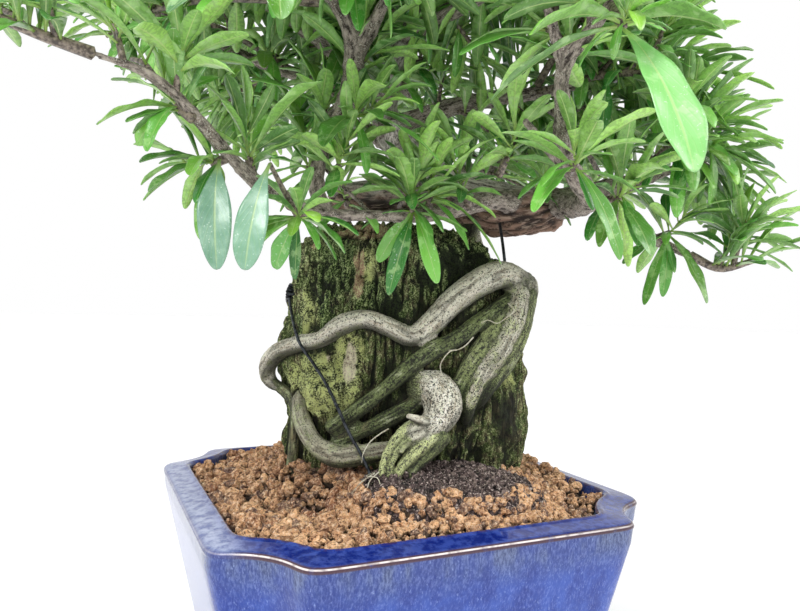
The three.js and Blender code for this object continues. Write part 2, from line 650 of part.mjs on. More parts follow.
const withRadius = (points, radius) => points.map((p) => [...p, radius]);

function makeTieWire(grow) {
  const front = limb(withRadius(TIE_WIRE, WIRE_RADIUS), 6, 1, grow);
  const back = limb(withRadius(BACK_STRAND, WIRE_RADIUS), 6, 1, grow);
  return front.add(back);
}

const makeBoughWire = (grow) => limb(withRadius(BOUGH_WIRE, WIRE_RADIUS), 6, 2, grow);

// Leaves

// Lowest height of the foliage at a place, so that the front keeps its clear outline
function underside(x, y) {
  const away = y - VIEW_POINT[1];
  const sideways = (x - VIEW_POINT[0]) / away;
  const base = readTable(UNDERSIDE, sideways, 1);
  const near = THREE.MathUtils.smoothstep(-y, 40, 75);
  return VIEW_POINT[2] + THREE.MathUtils.lerp(base, Math.max(base, FRONT_UNDERSIDE), near) * away;
}

// A leaf from its foot to its tip over an arch, widest near the tip, keeled underneath
function blade(leaf, start, grow) {
  const foot = vecOf(leaf.foot);
  const tip = vecOf(leaf.tip);
  const chord = tip.clone().sub(foot);
  const lift = vecOf(leaf.lift);
  const control = foot.clone().lerp(tip, 0.5).add(lift);
  const curve = new THREE.QuadraticBezierCurve3(foot, control, tip);
  const across = lift.clone().cross(chord).normalize();
  const stations = start > 0
    ? [[start, 0.5, 0.9], [0.48, 0.82, 1], [0.82, 0.96, 1]]
    : [[0, 0.1, 0.5], [0.46, 0.8, 1], [0.82, 0.96, 1]];
  const rings = stations.map(([share, wide, deep]) => {
    const centre = curve.getPoint(share);
    const up = curve.getTangent(share).cross(across).normalize();
    const half = (wide * leaf.width) / 2 + grow;
    const edge = up.clone().multiplyScalar(0.12 * half + grow);
    return [
      centre.clone().addScaledVector(across, half).add(edge),
      centre.clone().addScaledVector(across, -half).add(edge),
      centre.clone().addScaledVector(up, -deep * LEAF_KEEL - grow),
    ];
  });
  rings.push([curve.getPoint(1).addScaledVector(chord.normalize(), grow)]);
  return loft(rings);
}

// The way a leaf bows: upwards, or towards the front where the arch is negative
const archOf = (arch) => (arch > 0 ? [0, -0.15 * arch, arch] : [0, arch, -0.35 * arch]);

// Twigs of the front sprays are the spurs that their leaves stand on
function frontSpray(row) {
  const leaves = row.leaves.map(([x, y, z, width, arch]) => (
    { foot: row.node, tip: [x, y, z], width, lift: archOf(arch) }));
  const end = vecOf(row.node).add(vecOf(row.node).sub(vecOf(row.from)).setLength(0.8));
  const knots = [[...row.from, TWIG_RADIUS], [...end.toArray(), TWIG_RADIUS]];
  return { name: row.name, knots, leaves, kept: leaves.length };
}

// Boughs that carry the crown: those with a stout foot that taper to a thin end
const FREE_BOUGHS = [TRUNK, ...BOUGHS].filter((knots) => (
  knots[0][3] > THINNEST_FOOT && knots.at(-1)[3] < THICKEST_END));

// A twig that goes on from the end of a bough and lifts a little
function tipTwig(knots) {
  const last = vecOf(knots.at(-1));
  const along = last.clone().sub(vecOf(knots.at(-2))).normalize();
  const from = last.addScaledVector(along, CLEARANCE);
  const middle = from.clone().addScaledVector(along, TIP_TWIG / 2);
  along.z = Math.max(along.z, 0.25);
  return [from, middle, middle.clone().addScaledVector(along.normalize(), TIP_TWIG / 2)];
}

// A twig that reaches a place on the dome, from the bough that lies best for it
function domeTwig(order) {
  const rise = (order + 0.3) / DOME_SPRAYS;
  const angle = GOLDEN_ANGLE * order + 0.5 * chance(order, 1) + (DOME_TURNS[order] ?? 0);
  const reach = CROWN_RADIUS * Math.sqrt(1 - rise * rise) * (0.88 + 0.14 * chance(order, 2));
  const end = vec(reach * Math.cos(angle), reach * Math.sin(angle), 0);
  end.z = Math.max(CROWN_BASE + CROWN_RISE * rise, underside(end.x, end.y) + 16);
  const towards = end.clone().lerp(vec(0, 0, 150), 0.3);
  let bearer = null;
  for (const knots of FREE_BOUGHS) {
    for (let i = 2; i + 1 < knots.length; i++) {
      const p = vecOf(knots[i]);
      const far = p.distanceTo(towards);
      if (bearer === null || far < bearer.far) {
        bearer = { p, far, radius: knots[i][3], next: vecOf(knots[i + 1]) };
      }
    }
  }
  const along = bearer.next.clone().sub(bearer.p).normalize();
  const out = end.clone().sub(bearer.p);
  out.addScaledVector(along, -out.dot(along)).setLength(bearer.radius + 2 * CLEARANCE);
  const from = bearer.p.clone().add(out);
  const middle = from.clone().lerp(end, 0.5);
  middle.x += 6 * (chance(order, 3) - 0.5);
  middle.y += 6 * (chance(order, 4) - 0.5);
  middle.z += 3;
  return [from, middle, end];
}

function crownSpray(k) {
  const places = k < FREE_BOUGHS.length ? tipTwig(FREE_BOUGHS[k]) : domeTwig(k - FREE_BOUGHS.length);
  const knots = places.map((p, i) => [...p.toArray(), TWIG_RADIUS * (1.1 - 0.2 * i)]);
  const curve = new THREE.CatmullRomCurve3(places, false, 'centripetal');
  const leaves = [];
  for (let j = 0; j < LEAVES_PER_TWIG; j++) {
    const leaf = crownLeaf(k, j, curve);
    if (leaf !== null) leaves.push(leaf);
  }
  return { name: `crown_${String(k + 1).padStart(2, '0')}`, knots, leaves, kept: LEAVES_KEPT };
}

// Leaves stand round the twig by the golden angle, from its tip inwards
function crownLeaf(k, j, curve) {
  const share = 1 - LEAFY_SHARE * (j / LEAVES_PER_TWIG);
  const foot = curve.getPoint(share);
  const along = curve.getTangent(share);
  const side = vec(0, 0, 1).cross(along).normalize();
  const up = along.clone().cross(side);
  const angle = GOLDEN_ANGLE * j + 2 * Math.PI * chance(k, 5);
  const spread = THREE.MathUtils.lerp(LEAF_SPREAD[0], LEAF_SPREAD[1], Math.min(1, j / LEAVES_IN_TUFT))
    + 0.25 * (chance(k, 100 + j) - 0.5);
  const size = THREE.MathUtils.lerp(LEAF_SIZES[0], LEAF_SIZES[1], chance(k, 200 + j));
  const way = along.clone().multiplyScalar(Math.cos(spread))
    .addScaledVector(side, Math.sin(spread) * Math.cos(angle))
    .addScaledVector(up, Math.sin(spread) * Math.sin(angle));
  way.z -= LEAF_DROOP;
  const tip = foot.clone().addScaledVector(way.normalize(), LEAF_LENGTH * size);
  const lowest = underside(tip.x, tip.y);
  if (tip.z < lowest || foot.z < lowest) return null;
  const arch = LEAF_LENGTH * size * (0.1 + 0.16 * chance(k, 300 + j));
  const lift = up.clone().multiplyScalar(0.5).add(vec(0, 0, 0.8)).addScaledVector(way, -way.z * 0.8);
  return {
    foot: foot.toArray(), tip: tip.toArray(), width: LEAF_WIDTH * size, lift: lift.setLength(arch).toArray(),
  };
}

// Boxes round solids, to compare only what lies close
function boxOf(solid) {
  const box = solid.boundingBox();
  return new THREE.Box3(vecOf(box.min), vecOf(box.max));
}

const meets = (a, b) => a.box.intersectsBox(b.box) && !a.solid.intersect(b.solid).isEmpty();
const held = (spray, solid) => ({ spray, solid, box: boxOf(solid) });
const NO_SPRAY = -1;
const FREE_PART = 0.3;

// Every spray keeps the leaves that stand clear of the wood, the rock and all other leaves.
// The leaves of one spray may meet at their feet, before their free part.
function growSprays(obstacles) {
  const sprays = FRONT_SPRAYS.map(frontSpray);
  for (let k = 0; k < FREE_BOUGHS.length + DOME_SPRAYS; k++) sprays.push(crownSpray(k));
  const fixed = obstacles.map((solid) => held(NO_SPRAY, solid));
  const twigs = sprays.map((spray, index) => held(index, limb(spray.knots, TWIG_SIDES, 1)));
  const wholes = [];
  const outers = [];
  const picked = sprays.map((spray, index) => {
    const order = [0, 1, 2].flatMap((start) => spray.leaves.filter((leaf, j) => j % 3 === start));
    const kept = [];
    for (const leaf of order) {
      if (kept.length === spray.kept) break;
      const whole = held(index, blade(leaf, 0, 2 * CLEARANCE));
      const outer = held(index, blade(leaf, FREE_PART, CLEARANCE));
      const blocked = fixed.some((other) => meets(outer, other))
        || twigs.some((other) => other.spray !== index && meets(whole, other))
        || wholes.some((other) => other.spray !== index && meets(whole, other))
        || outers.some((other) => other.spray === index && meets(outer, other));
      if (!blocked) {
        kept.push(blade(leaf, 0, 0));
        wholes.push(held(index, blade(leaf, 0, 0)));
        outers.push(outer);
      }
    }
    return kept;
  });
  return sprays.map((spray, index) => ({ name: spray.name, solids: [twigs[index].solid, ...picked[index]] }));
}

// Assembly

const rock = makeRock(0);
const rockRoom = makeRock(CLEARANCE);
const wireRoom = makeTieWire(CLEARANCE);
const boughWireRoom = makeBoughWire(CLEARANCE);
const woodRoom = makeWood(CLEARANCE);
const muckRoom = makeMuck(CLEARANCE);
const bareWood = makeWood(0);

const solids = {
  rock: mainBody(cut(rock, [wireRoom])),
  wood: mainBody(cut(bareWood, [rockRoom, wireRoom, boughWireRoom])),
  muck: mainBody(cut(makeMuck(0), [rockRoom, woodRoom, wireRoom])),
};

// The soil fills the hollow of the pot round everything that stands in it
const inPot = geometryOf(potHollow(2 * POT_HEIGHT, CLEARANCE));
inPot.rotateZ(PLANT_TURN).translate(0, 0, -POT_HEIGHT);
const roomWidth = MESH_WIDTH + 2 * CLEARANCE;
const meshRoom = new THREE.BoxGeometry(roomWidth, roomWidth, 2 * MESH_THICKNESS);
meshRoom.rotateZ(PLANT_TURN).translate(0, 0, FLOOR_TOP - POT_HEIGHT + MESH_THICKNESS + CLEARANCE);
const bed = makeSoilBed().intersect(solidOf(inPot));
solids.soil = mainBody(cut(bed, [rockRoom, woodRoom, wireRoom, muckRoom, solidOf(meshRoom)]));

const plant = new THREE.Group();
plant.rotation.z = -PLANT_TURN;
plant.position.z = POT_HEIGHT;
plant.add(named('soil', solids.soil, AKADAMA));
plant.add(named('muck', solids.muck, MUCK));
plant.add(named('rock', solids.rock, STONE));
plant.add(named('wood', solids.wood, BARK));
plant.add(named('tie_wire', makeTieWire(0), WIRE));
plant.add(named('bough_wire', makeBoughWire(0), WIRE));

const obstacles = [bareWood, rock, makeTieWire(0), makeBoughWire(0)];
for (const spray of growSprays(obstacles)) {
  const solid = mainBody(cut(join(spray.solids), [woodRoom, rockRoom]));
  plant.add(named(`spray_${spray.name}`, solid, LEAF));
}

const bonsai = new THREE.Group();
bonsai.add(named('pot', makePot(), GLAZE));
bonsai.add(named('drain_mesh', makeDrainMesh(), PLASTIC));
bonsai.add(plant);

// The origin is under the middle of the whole object's box
bonsai.updateMatrixWorld(true);
const extent = new THREE.Box3().setFromObject(bonsai, true);
const middle = extent.getCenter(vec(0, 0, 0));
bonsai.position.set(-middle.x, -middle.y, -extent.min.z);

export default bonsai;
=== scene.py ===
"""Finished looks of a firethorn bonsai grown root over rock, in a square glazed pot.

Every shape is worked out in millimetres, in the axes of the plant: x to the right of its front,
y away from its front, z up from the rim of the pot. The last step of each shape turns it about
the middle of the pot into the frame's axes, in metres.
"""

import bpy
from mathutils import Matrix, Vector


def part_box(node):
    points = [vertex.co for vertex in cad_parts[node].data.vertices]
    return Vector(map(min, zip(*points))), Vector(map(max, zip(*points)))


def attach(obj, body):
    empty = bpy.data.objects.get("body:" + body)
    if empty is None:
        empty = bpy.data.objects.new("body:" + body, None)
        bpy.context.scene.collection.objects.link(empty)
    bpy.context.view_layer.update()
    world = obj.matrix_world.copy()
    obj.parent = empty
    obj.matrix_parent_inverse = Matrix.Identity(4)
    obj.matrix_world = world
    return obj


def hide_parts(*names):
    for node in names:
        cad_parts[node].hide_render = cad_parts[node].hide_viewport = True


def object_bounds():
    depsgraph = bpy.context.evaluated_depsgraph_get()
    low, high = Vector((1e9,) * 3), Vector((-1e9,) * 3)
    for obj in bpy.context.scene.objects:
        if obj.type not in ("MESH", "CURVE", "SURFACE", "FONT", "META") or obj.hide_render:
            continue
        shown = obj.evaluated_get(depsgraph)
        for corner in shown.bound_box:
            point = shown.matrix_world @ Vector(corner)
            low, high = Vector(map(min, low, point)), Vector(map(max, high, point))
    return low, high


bl_info = {
    "name": "Root Over Rock Bonsai",
    "version": (1, 0, 0),
    "blender": (4, 5, 0),
    "location": "View3D > Sidebar > Bonsai",
    "description": "Builds a firethorn bonsai on a rock, in a glazed pot with scooped corners",
    "category": "Add Mesh",
}

import bpy
import numpy as np
from bpy.props import FloatProperty, FloatVectorProperty, IntProperty, PointerProperty
from mathutils import Matrix

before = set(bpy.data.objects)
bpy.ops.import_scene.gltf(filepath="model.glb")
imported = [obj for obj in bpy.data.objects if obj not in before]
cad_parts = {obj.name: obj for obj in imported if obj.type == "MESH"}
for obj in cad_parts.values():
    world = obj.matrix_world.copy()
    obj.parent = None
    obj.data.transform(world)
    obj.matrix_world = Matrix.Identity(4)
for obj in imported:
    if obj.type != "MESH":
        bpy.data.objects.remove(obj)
CAD_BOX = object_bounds()
BOX_LOW, BOX_HIGH = (np.array(corner) for corner in CAD_BOX)
POT_LOW, POT_HIGH = (np.array(corner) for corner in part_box("pot"))

MM = 0.001
GOLDEN_ANGLE = 2.39996
UP = np.array([0.0, 0.0, 1.0])
END_BULGE = 0.5

# Pot: the driving sizes of the frame's own pot
RIM_RISE = 1.2
POT_HEIGHT = (POT_HIGH[2] - POT_LOW[2]) / MM - RIM_RISE
POT_WIDTH = (POT_HIGH[0] - POT_LOW[0]) / MM
POT_AXIS = (POT_LOW + POT_HIGH)[:2] / 2 / MM
PLANT_TURN = np.radians(24.7)
SCOOP_RADIUS = 20.5
TIP = 1.6
LIP_HEIGHT = 7.0
LIP_SLOPE = 0.1
WALL_SLOPE = 0.23
RIM_WIDTH = 9.5
WALL_THICKNESS = 7.0
FOOT_LIFT = 6.0
FOOT_WIDTH = 26.0
FLOOR_TOP = 14.0
DRAIN_RADIUS = 9.0

# Soil
SOIL_EDGE = -0.8
SOIL_RISE = 10.0
SOIL_LESS_RIGHT = 4.5
SOIL_SLOPE_WIDTH = 34.0
BED_DEPTH = 3.6
BED_GAP = 0.35
# Layers of grains: share of the pitch, least and greatest radius, rows and columns, sink, seed, margin
# at the wall, and where they start and end round the muck
GRAIN_LAYERS = [
    (1.0, (1.9, 3.3), (5, 8), 0.4, 1, 2.2, 0.86, 99),
    (1.0, (1.7, 2.9), (4, 8), 2.6, 2, 1.8, 0.86, 99),
    (0.8, (0.9, 1.7), (3, 6), 0.4, 3, 1.4, 0.76, 99),
    (0.5, (0.4, 1.0), (2, 5), 0.6, 4, 1.0, 0.74, 99),
    (0.56, (1.9, 3.2), (3, 7), -0.5, 5, 2.2, 0.86, 1.16),
    (0.56, (1.6, 2.8), (3, 7), -0.5, 6, 2.2, 0.86, 1.16),
    (0.56, (1.3, 2.2), (3, 7), -0.5, 7, 2.2, 0.86, 1.16),
    (0.56, (1.0, 1.8), (3, 7), -0.5, 8, 2.2, 0.86, 1.16),
]
GRAIN_JITTER = 0.34
INTO_ROCK = 2.0

# Rock: height, then its left, right, front and back at that height
ROCK_LEVELS = np.array([
    [-14, -33, 47, -24, 38],
    [-2, -33, 48, -24, 39],
    [10, -33.5, 49.5, -25, 40],
    [22, -36, 50, -26, 41],
    [34, -39.5, 50, -27, 41],
    [46, -40, 47.5, -26.5, 40],
    [58, -38.5, 45, -25.5, 39],
    [68, -36.5, 43.5, -24.5, 38],
    [77, -34, 43, -23, 37],
    [85, -35, 39, -20, 35],
    [91, -34, 31, -16, 32],
    [94.5, -25, 23, -7, 24],
])
SOIL_LEVEL = 2
ROCK_SQUARENESS = 2.7
ROCK_RIDGE = 1.3
# Hollows and swellings of the rock: middle, reach sideways and upwards, and depth or height
ROCK_DENTS = [
    [22, -20, 80, 9, 8, -4.0],
    [-1.5, -26, 64, 6, 7, -2.6],
    [2, -26, 57, 4, 6, -2.0],
    [32, -17, 84, 6, 6, -3.0],
    [-28, -20, 70, 5, 12, -1.4],
    [-13, -27, 46, 2.6, 8.5, 5.0],
    [-24, -25, 37, 9, 7, 2.2],
    [-11, -23, 78, 3.2, 12, 1.8],
    [-19, -22, 84, 3, 8, -1.2],
    [40, -20, 30, 7, 14, 1.6],
    [30, -24, 18, 8, 9, -2.4],
]

# Mounds of peat: middle and radii of each
MOUNDS = np.array([[22.0, -28.0, -3.0, 33.0, 19.0, 15.0], [5.0, -40.5, -1.0, 17.0, 12.0, 14.0]])
CRUMBS_PER_MOUND = (2600, 800)

# Wires: places along each
TIE_WIRE = [
    [-33, -7, 74], [-36, -9, 71.5], [-36.5, -10, 68], [-35, -14, 62.5], [-32.5, -20.5, 56.5],
    [-30.5, -23, 52], [-26, -26.5, 46.5], [-21, -29.5, 40], [-15.5, -33, 30.5], [-12, -35.5, 24],
    [-7.5, -37.5, 17], [-4, -40, 10], [-2.5, -42, 3], [-2, -42, -6],
]
BACK_STRAND = [
    [-36.5, -10, 68], [-38.5, -3, 67], [-38.9, 8, 63], [-38, 20, 54], [-35.5, 29, 40],
    [-31, 35, 22], [-30, 37, 6], [-30, 37, -6],
]
BOUGH_WIRE = [[39.5, -3, 99], [39.6, -7, 95], [40, -12, 88], [40.5, -14, 82], [40.8, -14, 78]]
KNOT_TAIL = [[-36, -9, 71.5], [-37.2, -11, 69.5], [-35.4, -11.6, 68.6], [-33.6, -10.8, 70.2], [-32, -11, 72.6]]
KNOT_CORE = [[-35.6, -8.7, 72.2], [-36.4, -9.4, 70], [-36.5, -10.2, 67.6]]
KNOT_TURNS = 2.5
KNOT_REACH = 0.95
WIRE_STEP = 0.8
ROOTLET_RADIUS = 0.26

# Roots: x, y, z and radius at each knot, and how pale, mossy and speckled the root is
ROOTS = [
    ([
        [47, -5, 74, 6], [40, -14, 77.5, 5.2], [30.5, -20, 74, 5], [21, -24.5, 67, 4.6], [14.5, -27, 60, 4.1],
        [8, -28, 55.5, 3.7], [0, -28.5, 58.5, 3.5], [-7.5, -28.5, 61, 3.4], [-15.5, -27.5, 59, 3.4],
        [-23.5, -24.5, 53.5, 3.1], [-31.5, -18.5, 51.5, 3], [-40, -11, 48, 3.1], [-45, -5, 41.5, 3.1],
        [-44.5, -3, 37, 2.7], [-41, -4.5, 34.5, 2.3],
    ], 1.0, 0.1, 0.5),
    ([[-42, -4, 35.5, 2.3], [-38, -6, 33, 2.2], [-34.2, -9.5, 29.5, 2], [-33.2, -12, 22, 2], [-34, -13, 2, 2.2]],
     0.3, 0.45, 0.5),
    ([
        [45, -12, 70, 3], [38, -18, 66, 2.7], [32, -23, 62, 2.7], [25, -27, 56.5, 2.9], [10.5, -30.5, 48, 2.9],
        [1, -31, 39.5, 2.8], [-8.5, -31, 31.5, 2.8], [-19, -27.5, 23.5, 2.9],
    ], 0.15, 0.8, 0.3),
    ([[12, -26, 36, 3], [9.5, -29, 33, 3], [-3, -30.5, 26, 3], [-17, -27, 19.5, 2.7]], 0.1, 0.6, 0.5),
    ([
        [-32, -9, 33, 2.8], [-31, -15, 28, 3.2], [-28, -21, 22.5, 3.4], [-23, -27, 17.5, 3.5],
        [-15, -31, 15, 3.5], [-7, -32.5, 16.5, 3.4], [1, -32, 18, 3.2], [8, -30, 19, 3],
    ], 0.5, 0.35, 0.45),
    ([
        [9.5, -24, 38.5, 3.8], [11.8, -28, 38.8, 5.2], [16.2, -31, 37.9, 6.7], [18.7, -34, 33.6, 6.8],
        [16.6, -36, 28.4, 5.6], [13, -37, 25.2, 4.4], [10.5, -37.8, 23.8, 3.2],
    ], 1.0, 0.12, 1.0),
    ([
        [11.5, -38, 27.4, 3.4], [5.6, -40.6, 25.2, 2.3], [1.4, -42.6, 20.4, 1.4], [-0.4, -43.3, 15, 1.2],
        [-0.8, -43, 10, 1.1], [-0.6, -42.6, 3, 1.1],
    ], 0.9, 0.75, 0.5),
    ([
        [11.5, -39, 25, 3.2], [6.6, -41.6, 22.6, 2.1], [3.4, -43.3, 19.2, 1.3], [2, -43.8, 15.5, 1.1],
        [1.8, -43.4, 4, 1.1],
    ], 0.7, 0.85, 0.6),
    ([
        [14.5, -38.5, 23.8, 3.6], [10.5, -41.2, 20.3, 2.6], [6.6, -43, 16.6, 1.9], [4.6, -43.4, 13.4, 1.5],
        [4.2, -43, 4, 1.2],
    ], 0.95, 0.7, 0.5),
    ([[18, -36.5, 24.6, 4], [14.3, -39, 20, 3.1], [10.6, -41, 16, 2.2], [7.8, -41.6, 12, 1.7], [7, -41.4, 4, 1.2]],
     0.3, 0.8, 0.5),
    ([[9, -41.5, 22.5, 1.3], [6.4, -43.6, 21.8, 1.0], [5, -44.6, 19.8, 0.7]], 1.0, 0.45, 0.3),
    ([[14, -38, 28.6, 2], [11.5, -40.6, 29.3, 1.6], [9, -42.4, 30.3, 1.2], [6.8, -43, 31.2, 0.9]], 1.0, 0.05, 0.4),
    ([
        [47, -6, 70, 7], [46.5, -13, 62, 4.8], [44.5, -18.3, 54, 3.7], [40.5, -22.3, 46.5, 3.4],
        [36.5, -24.3, 41, 3], [32.5, -24, 35.5, 2.6], [30, -21, 31, 2],
    ], 0.45, 0.7, 0.6),
    ([
        [46, -12, 72, 4.4], [44.6, -17, 65.5, 3.6], [42.6, -20.6, 59.5, 3.4], [38.3, -24.4, 51.8, 3.3],
        [33, -27.2, 44.1, 3.1], [28.8, -28.8, 36.5, 2.9], [27.4, -27.5, 30.5, 2.3], [27, -24, 26.5, 1.6],
    ], 0.95, 0.35, 0.85),
    ([
        [44, -12.5, 68.5, 3.7], [38.8, -18.6, 61.3, 3.1], [33.3, -23.4, 53.9, 3], [27.8, -26.3, 46.1, 2.9],
        [24, -27.2, 39.3, 2.7], [21, -27, 32, 2.4],
    ], 0.4, 0.9, 0.4),
    ([
        [45, -10, 74, 5.4], [47.5, -3, 72.5, 7.6], [47.5, 5, 72, 7.2], [43, 14, 74, 6.8], [37, 20, 79, 6.6],
        [32, 20, 88, 5], [30, 14, 97, 4.6], [30, 8, 103, 6],
    ], 0.8, 0.3, 0.7),
]
TRUNK = [
    [61, -7, 104, 6.6], [55, -5, 102.5, 8.6], [48, -2, 102, 9.6], [38, 3, 104, 9.6], [26, 10, 109, 8.8],
    [14, 20, 118, 7.8], [3, 29, 130, 7], [-5, 30, 146, 6], [-2, 22, 162, 5.2], [6, 12, 178, 4.4],
    [5, 5, 192, 3.4], [-1, 1, 206, 2],
]
BOUGHS = [
    [
        [48, -5, 104, 4.4], [36, -14, 104, 3.6], [26, -22, 100.5, 3.2], [11, -32, 96, 2.8], [-3.5, -42, 94, 2.3],
        [-18.5, -50, 93.2, 2.6], [-25, -54, 93, 3], [-30, -60, 96, 3], [-38, -68, 100, 3.1],
        [-43, -75, 105, 2.7], [-49, -83, 112, 3.1], [-54, -89, 117.5, 2.6], [-60, -95, 121, 2.2],
        [-69, -100, 123, 1.4],
    ],
    [
        [-20, -50, 94, 3.4], [-23, -47, 101, 3.4], [-23, -45, 109, 3], [-19, -46, 120, 3.3], [-14, -48, 131, 3.4],
        [-12.5, -50, 138, 4.2], [-13, -52, 146, 3.2], [-19, -58, 156, 2.5], [-30, -70, 170, 1.4],
    ],
    [[-12.5, -50, 139, 3.6], [-6, -55, 150, 2.7], [3, -66, 164, 1.4]],
    [[-22, -42, 109, 1], [-14, -39, 102, 0.9], [-6, -41, 94.5, 1]],
    [[14, 17, 114, 7.6], [0, 15, 109, 7.6], [-12, 11, 107, 7.4], [-23, 8, 107, 6]],
    [[7, 16, 114, 5], [7, 6, 116.5, 5], [7, 1, 117, 3.4]],
    [[20, 10, 109, 5], [18.5, 3, 110.5, 4.6], [18, -2, 111, 3.2]],
    [[1, 28, 132, 5], [0, 19, 135, 4.4], [0, 13, 136, 3]],
    [[-6, 28, 138, 4.4], [10, 24, 143, 4], [30, 20, 148, 3.6], [56, 14, 151, 2.6], [84, 10, 156, 1.5]],
    [[60, -7, 104, 5.6], [74, -10, 108, 4.4], [88, -7, 113, 3.2], [102, -3, 118, 1.8]],
    [[70, -9, 107, 3.4], [82, -13, 98, 2.6], [93, -15, 91.5, 2.2], [105, -17, 86, 1.4]],
    [
        [60, -8, 104, 5.6], [63, -26, 101.5, 4.4], [61, -48, 100, 4], [57, -60, 100.5, 4], [52, -66, 104, 3.9],
        [47.5, -71, 110, 3.7], [45, -79, 119, 3.5], [43.5, -86, 127, 3.6], [48, -94, 134, 2.9],
        [55, -101, 143, 2.2], [62, -103, 154, 1.4],
    ],
    [[43.5, -86, 127, 3.2], [39, -92, 136, 2.5], [32, -98, 150, 1.4]],
    [[53, -65, 103, 2.6], [48, -65, 108, 2.3], [43.5, -64, 113, 2.1], [38, -62, 120, 1.4]],
    [[-5, 30, 146, 4.4], [-20, 24, 151, 3.6], [-45, 12, 157, 2.8], [-84, 0, 166, 1.5]],
    [[3, 29, 130, 5], [-12, 48, 142, 3.8], [-35, 64, 154, 2.8], [-62, 78, 164, 1.5]],
    [[18, 17, 115, 5], [36, 38, 124, 4], [54, 58, 133, 2.9], [70, 75, 141, 1.6]],
    [[-2, 26, 155, 4], [4, 50, 161, 3.1], [8, 84, 168, 1.6]],
    [[-4, 26, 152, 4], [-24, -2, 160, 3], [-54, -38, 170, 1.5]],
    [[3, 14, 172, 3.6], [22, -10, 173, 2.8], [52, -44, 178, 1.5]],
    [[6, 12, 178, 3.6], [7, -14, 184, 2.7], [4, -56, 191, 1.5]],
    [[6, 10, 180, 3.4], [30, 8, 186, 2.6], [66, 2, 191, 1.5]],
    [[5, 7, 190, 3], [-20, 2, 197, 2.3], [-48, -6, 200, 1.4]],
    [[5, 6, 192, 2.8], [1, 42, 203, 1.4]],
]

# Sprays at the front: where each spur grows from, its end, and each leaf as its tip, width and arch
FRONT_SPRAYS = {
    "left_end": ([-50, -86, 112], [-54, -85, 115], [
        [-69, -98, 107, 6, 5], [-67, -78, 107, 6, -4], [-57, -98, 101, 5, 6],
        [-68, -82, 122, 5.6, 4], [-52, -96, 131, 5.6, -3], [-44, -78, 130, 5, 6]]),
    "left_knee": ([-43, -75, 105], [-47, -75, 103], [
        [-64, -84, 101, 5, 4], [-60, -88, 93, 6, 4], [-41.7, -91, 73.8, 8.6, -7],
        [-50, -74, 82, 6, -4], [-49, -90, 97, 6, 6]]),
    "left_fork": ([-38, -68, 100], [-39, -70, 105], [
        [-17, -90, 121, 6.5, 7], [-24, -60, 112, 5, 3], [-44, -78, 126, 6, 6], [-34, -54, 123, 6, 4]]),
    "left_drop": ([-27, -57, 94], [-26, -64, 90], [
        [-33.9, -95, 73.7, 8.2, -7], [-34, -54, 76, 6, -4], [-44, -60, 84, 6, -4], [-12, -70, 80, 6, 5]]),
    "upright_low": ([-23, -46, 104], [-26, -43, 108], [
        [-42, -40, 97, 5.6, 4], [-34, -56, 119, 5.6, 5], [-36, -32, 120, 5.6, 4], [-20, -62, 112, 5, 6]]),
    "upright_mid": ([-17, -47, 124], [-12, -50, 123], [
        [15, -50, 117, 5.6, 7], [14, -60, 108, 5.6, 8], [-18, -76, 108, 7.4, -6],
        [-2, -72, 126, 6, 6], [4, -42, 138, 6, 4]]),
    "centre_left": ([7, -35, 95], [7, -39, 96.5], [
        [0, -47, 69, 5.6, -6], [15, -46, 73, 5.4, -6], [-10, -47, 106, 7, 5], [2, -60, 109, 6.5, 5],
        [-4, -33, 80, 5.6, -3]]),
    "centre_right": ([12, -32, 96], [12.5, -35, 101], [
        [25, -41, 84, 5.6, 5], [34, -36, 95, 4.6, 7], [36, -37, 80, 5, 11], [32, -54, 117, 4.6, 7],
        [4, -42, 116, 5, 4]]),
    "trunk_front": ([50, -6, 104], [53, -15, 110], [
        [27, -20, 122, 5.6, 3], [28, -26, 109, 5.4, 3], [50, -38, 100, 4.4, 4], [56, -36, 126, 5.6, 5],
        [74, -26, 122, 5.6, 4]]),
    "fork_low": ([51, -67, 104], [49, -77, 104], [
        [28, -88, 110, 6, 4], [59, -86, 79, 5, -8], [66, -90, 116, 6, 5], [36, -90, 90, 5.6, 5],
        [48, -102, 110, 5, -6]]),
    "right_near": ([62, -36, 101], [69, -50, 100], [
        [74, -66, 82, 6.4, -5], [60, -64, 84, 5.4, 4], [84, -60, 112, 6, 5], [74, -76, 104, 8, 7],
        [70, -58, 124, 6.4, 4], [76, -40, 80, 4.6, 5]]),
    "right_low": ([93, -15, 91.5], [96, -20, 93], [
        [85, -30, 68, 4.4, 3], [104, -34, 69, 6, 5], [94, -22, 71, 4.4, -3], [92, -2, 80, 5.4, 4],
        [80, -22, 82, 5, 3], [112, -26, 100, 6, 5]]),
    "high_left": ([-22, -63.8, 158.8], [-28, -88, 150], [
        [-48, -112, 128, 8.4, 7], [-24, -110, 128, 8.4, -6], [-10, -108, 146, 7, 5],
        [-40, -104, 150, 7, 5]]),
    "high_right": ([52, -98, 138], [50, -112, 128], [
        [57, -136, 92, 9.4, -8], [28, -126, 120, 8.4, 6], [22, -112, 111, 6, 6],
        [66, -126, 122, 7.4, 5]]),
}

# Leaves of those sprays that hang from a foot of their own
HANGING_FEET = {("left_knee", 2): [-44.5, -80, 103], ("left_drop", 0): [-30.6, -84, 101.5]}

# Small spurs in front of the log: start and node of each
SMALL_SPURS = [
    ([-13, -30, 96], [-15, -36, 99.6]), ([3, -34, 97.7], [6, -39, 101]), ([26, -28, 100], [23, -34, 104]),
    ([-19, -46, 104], [-16, -50, 108]), ([34, -40, 108], [36, -44, 113]),
]

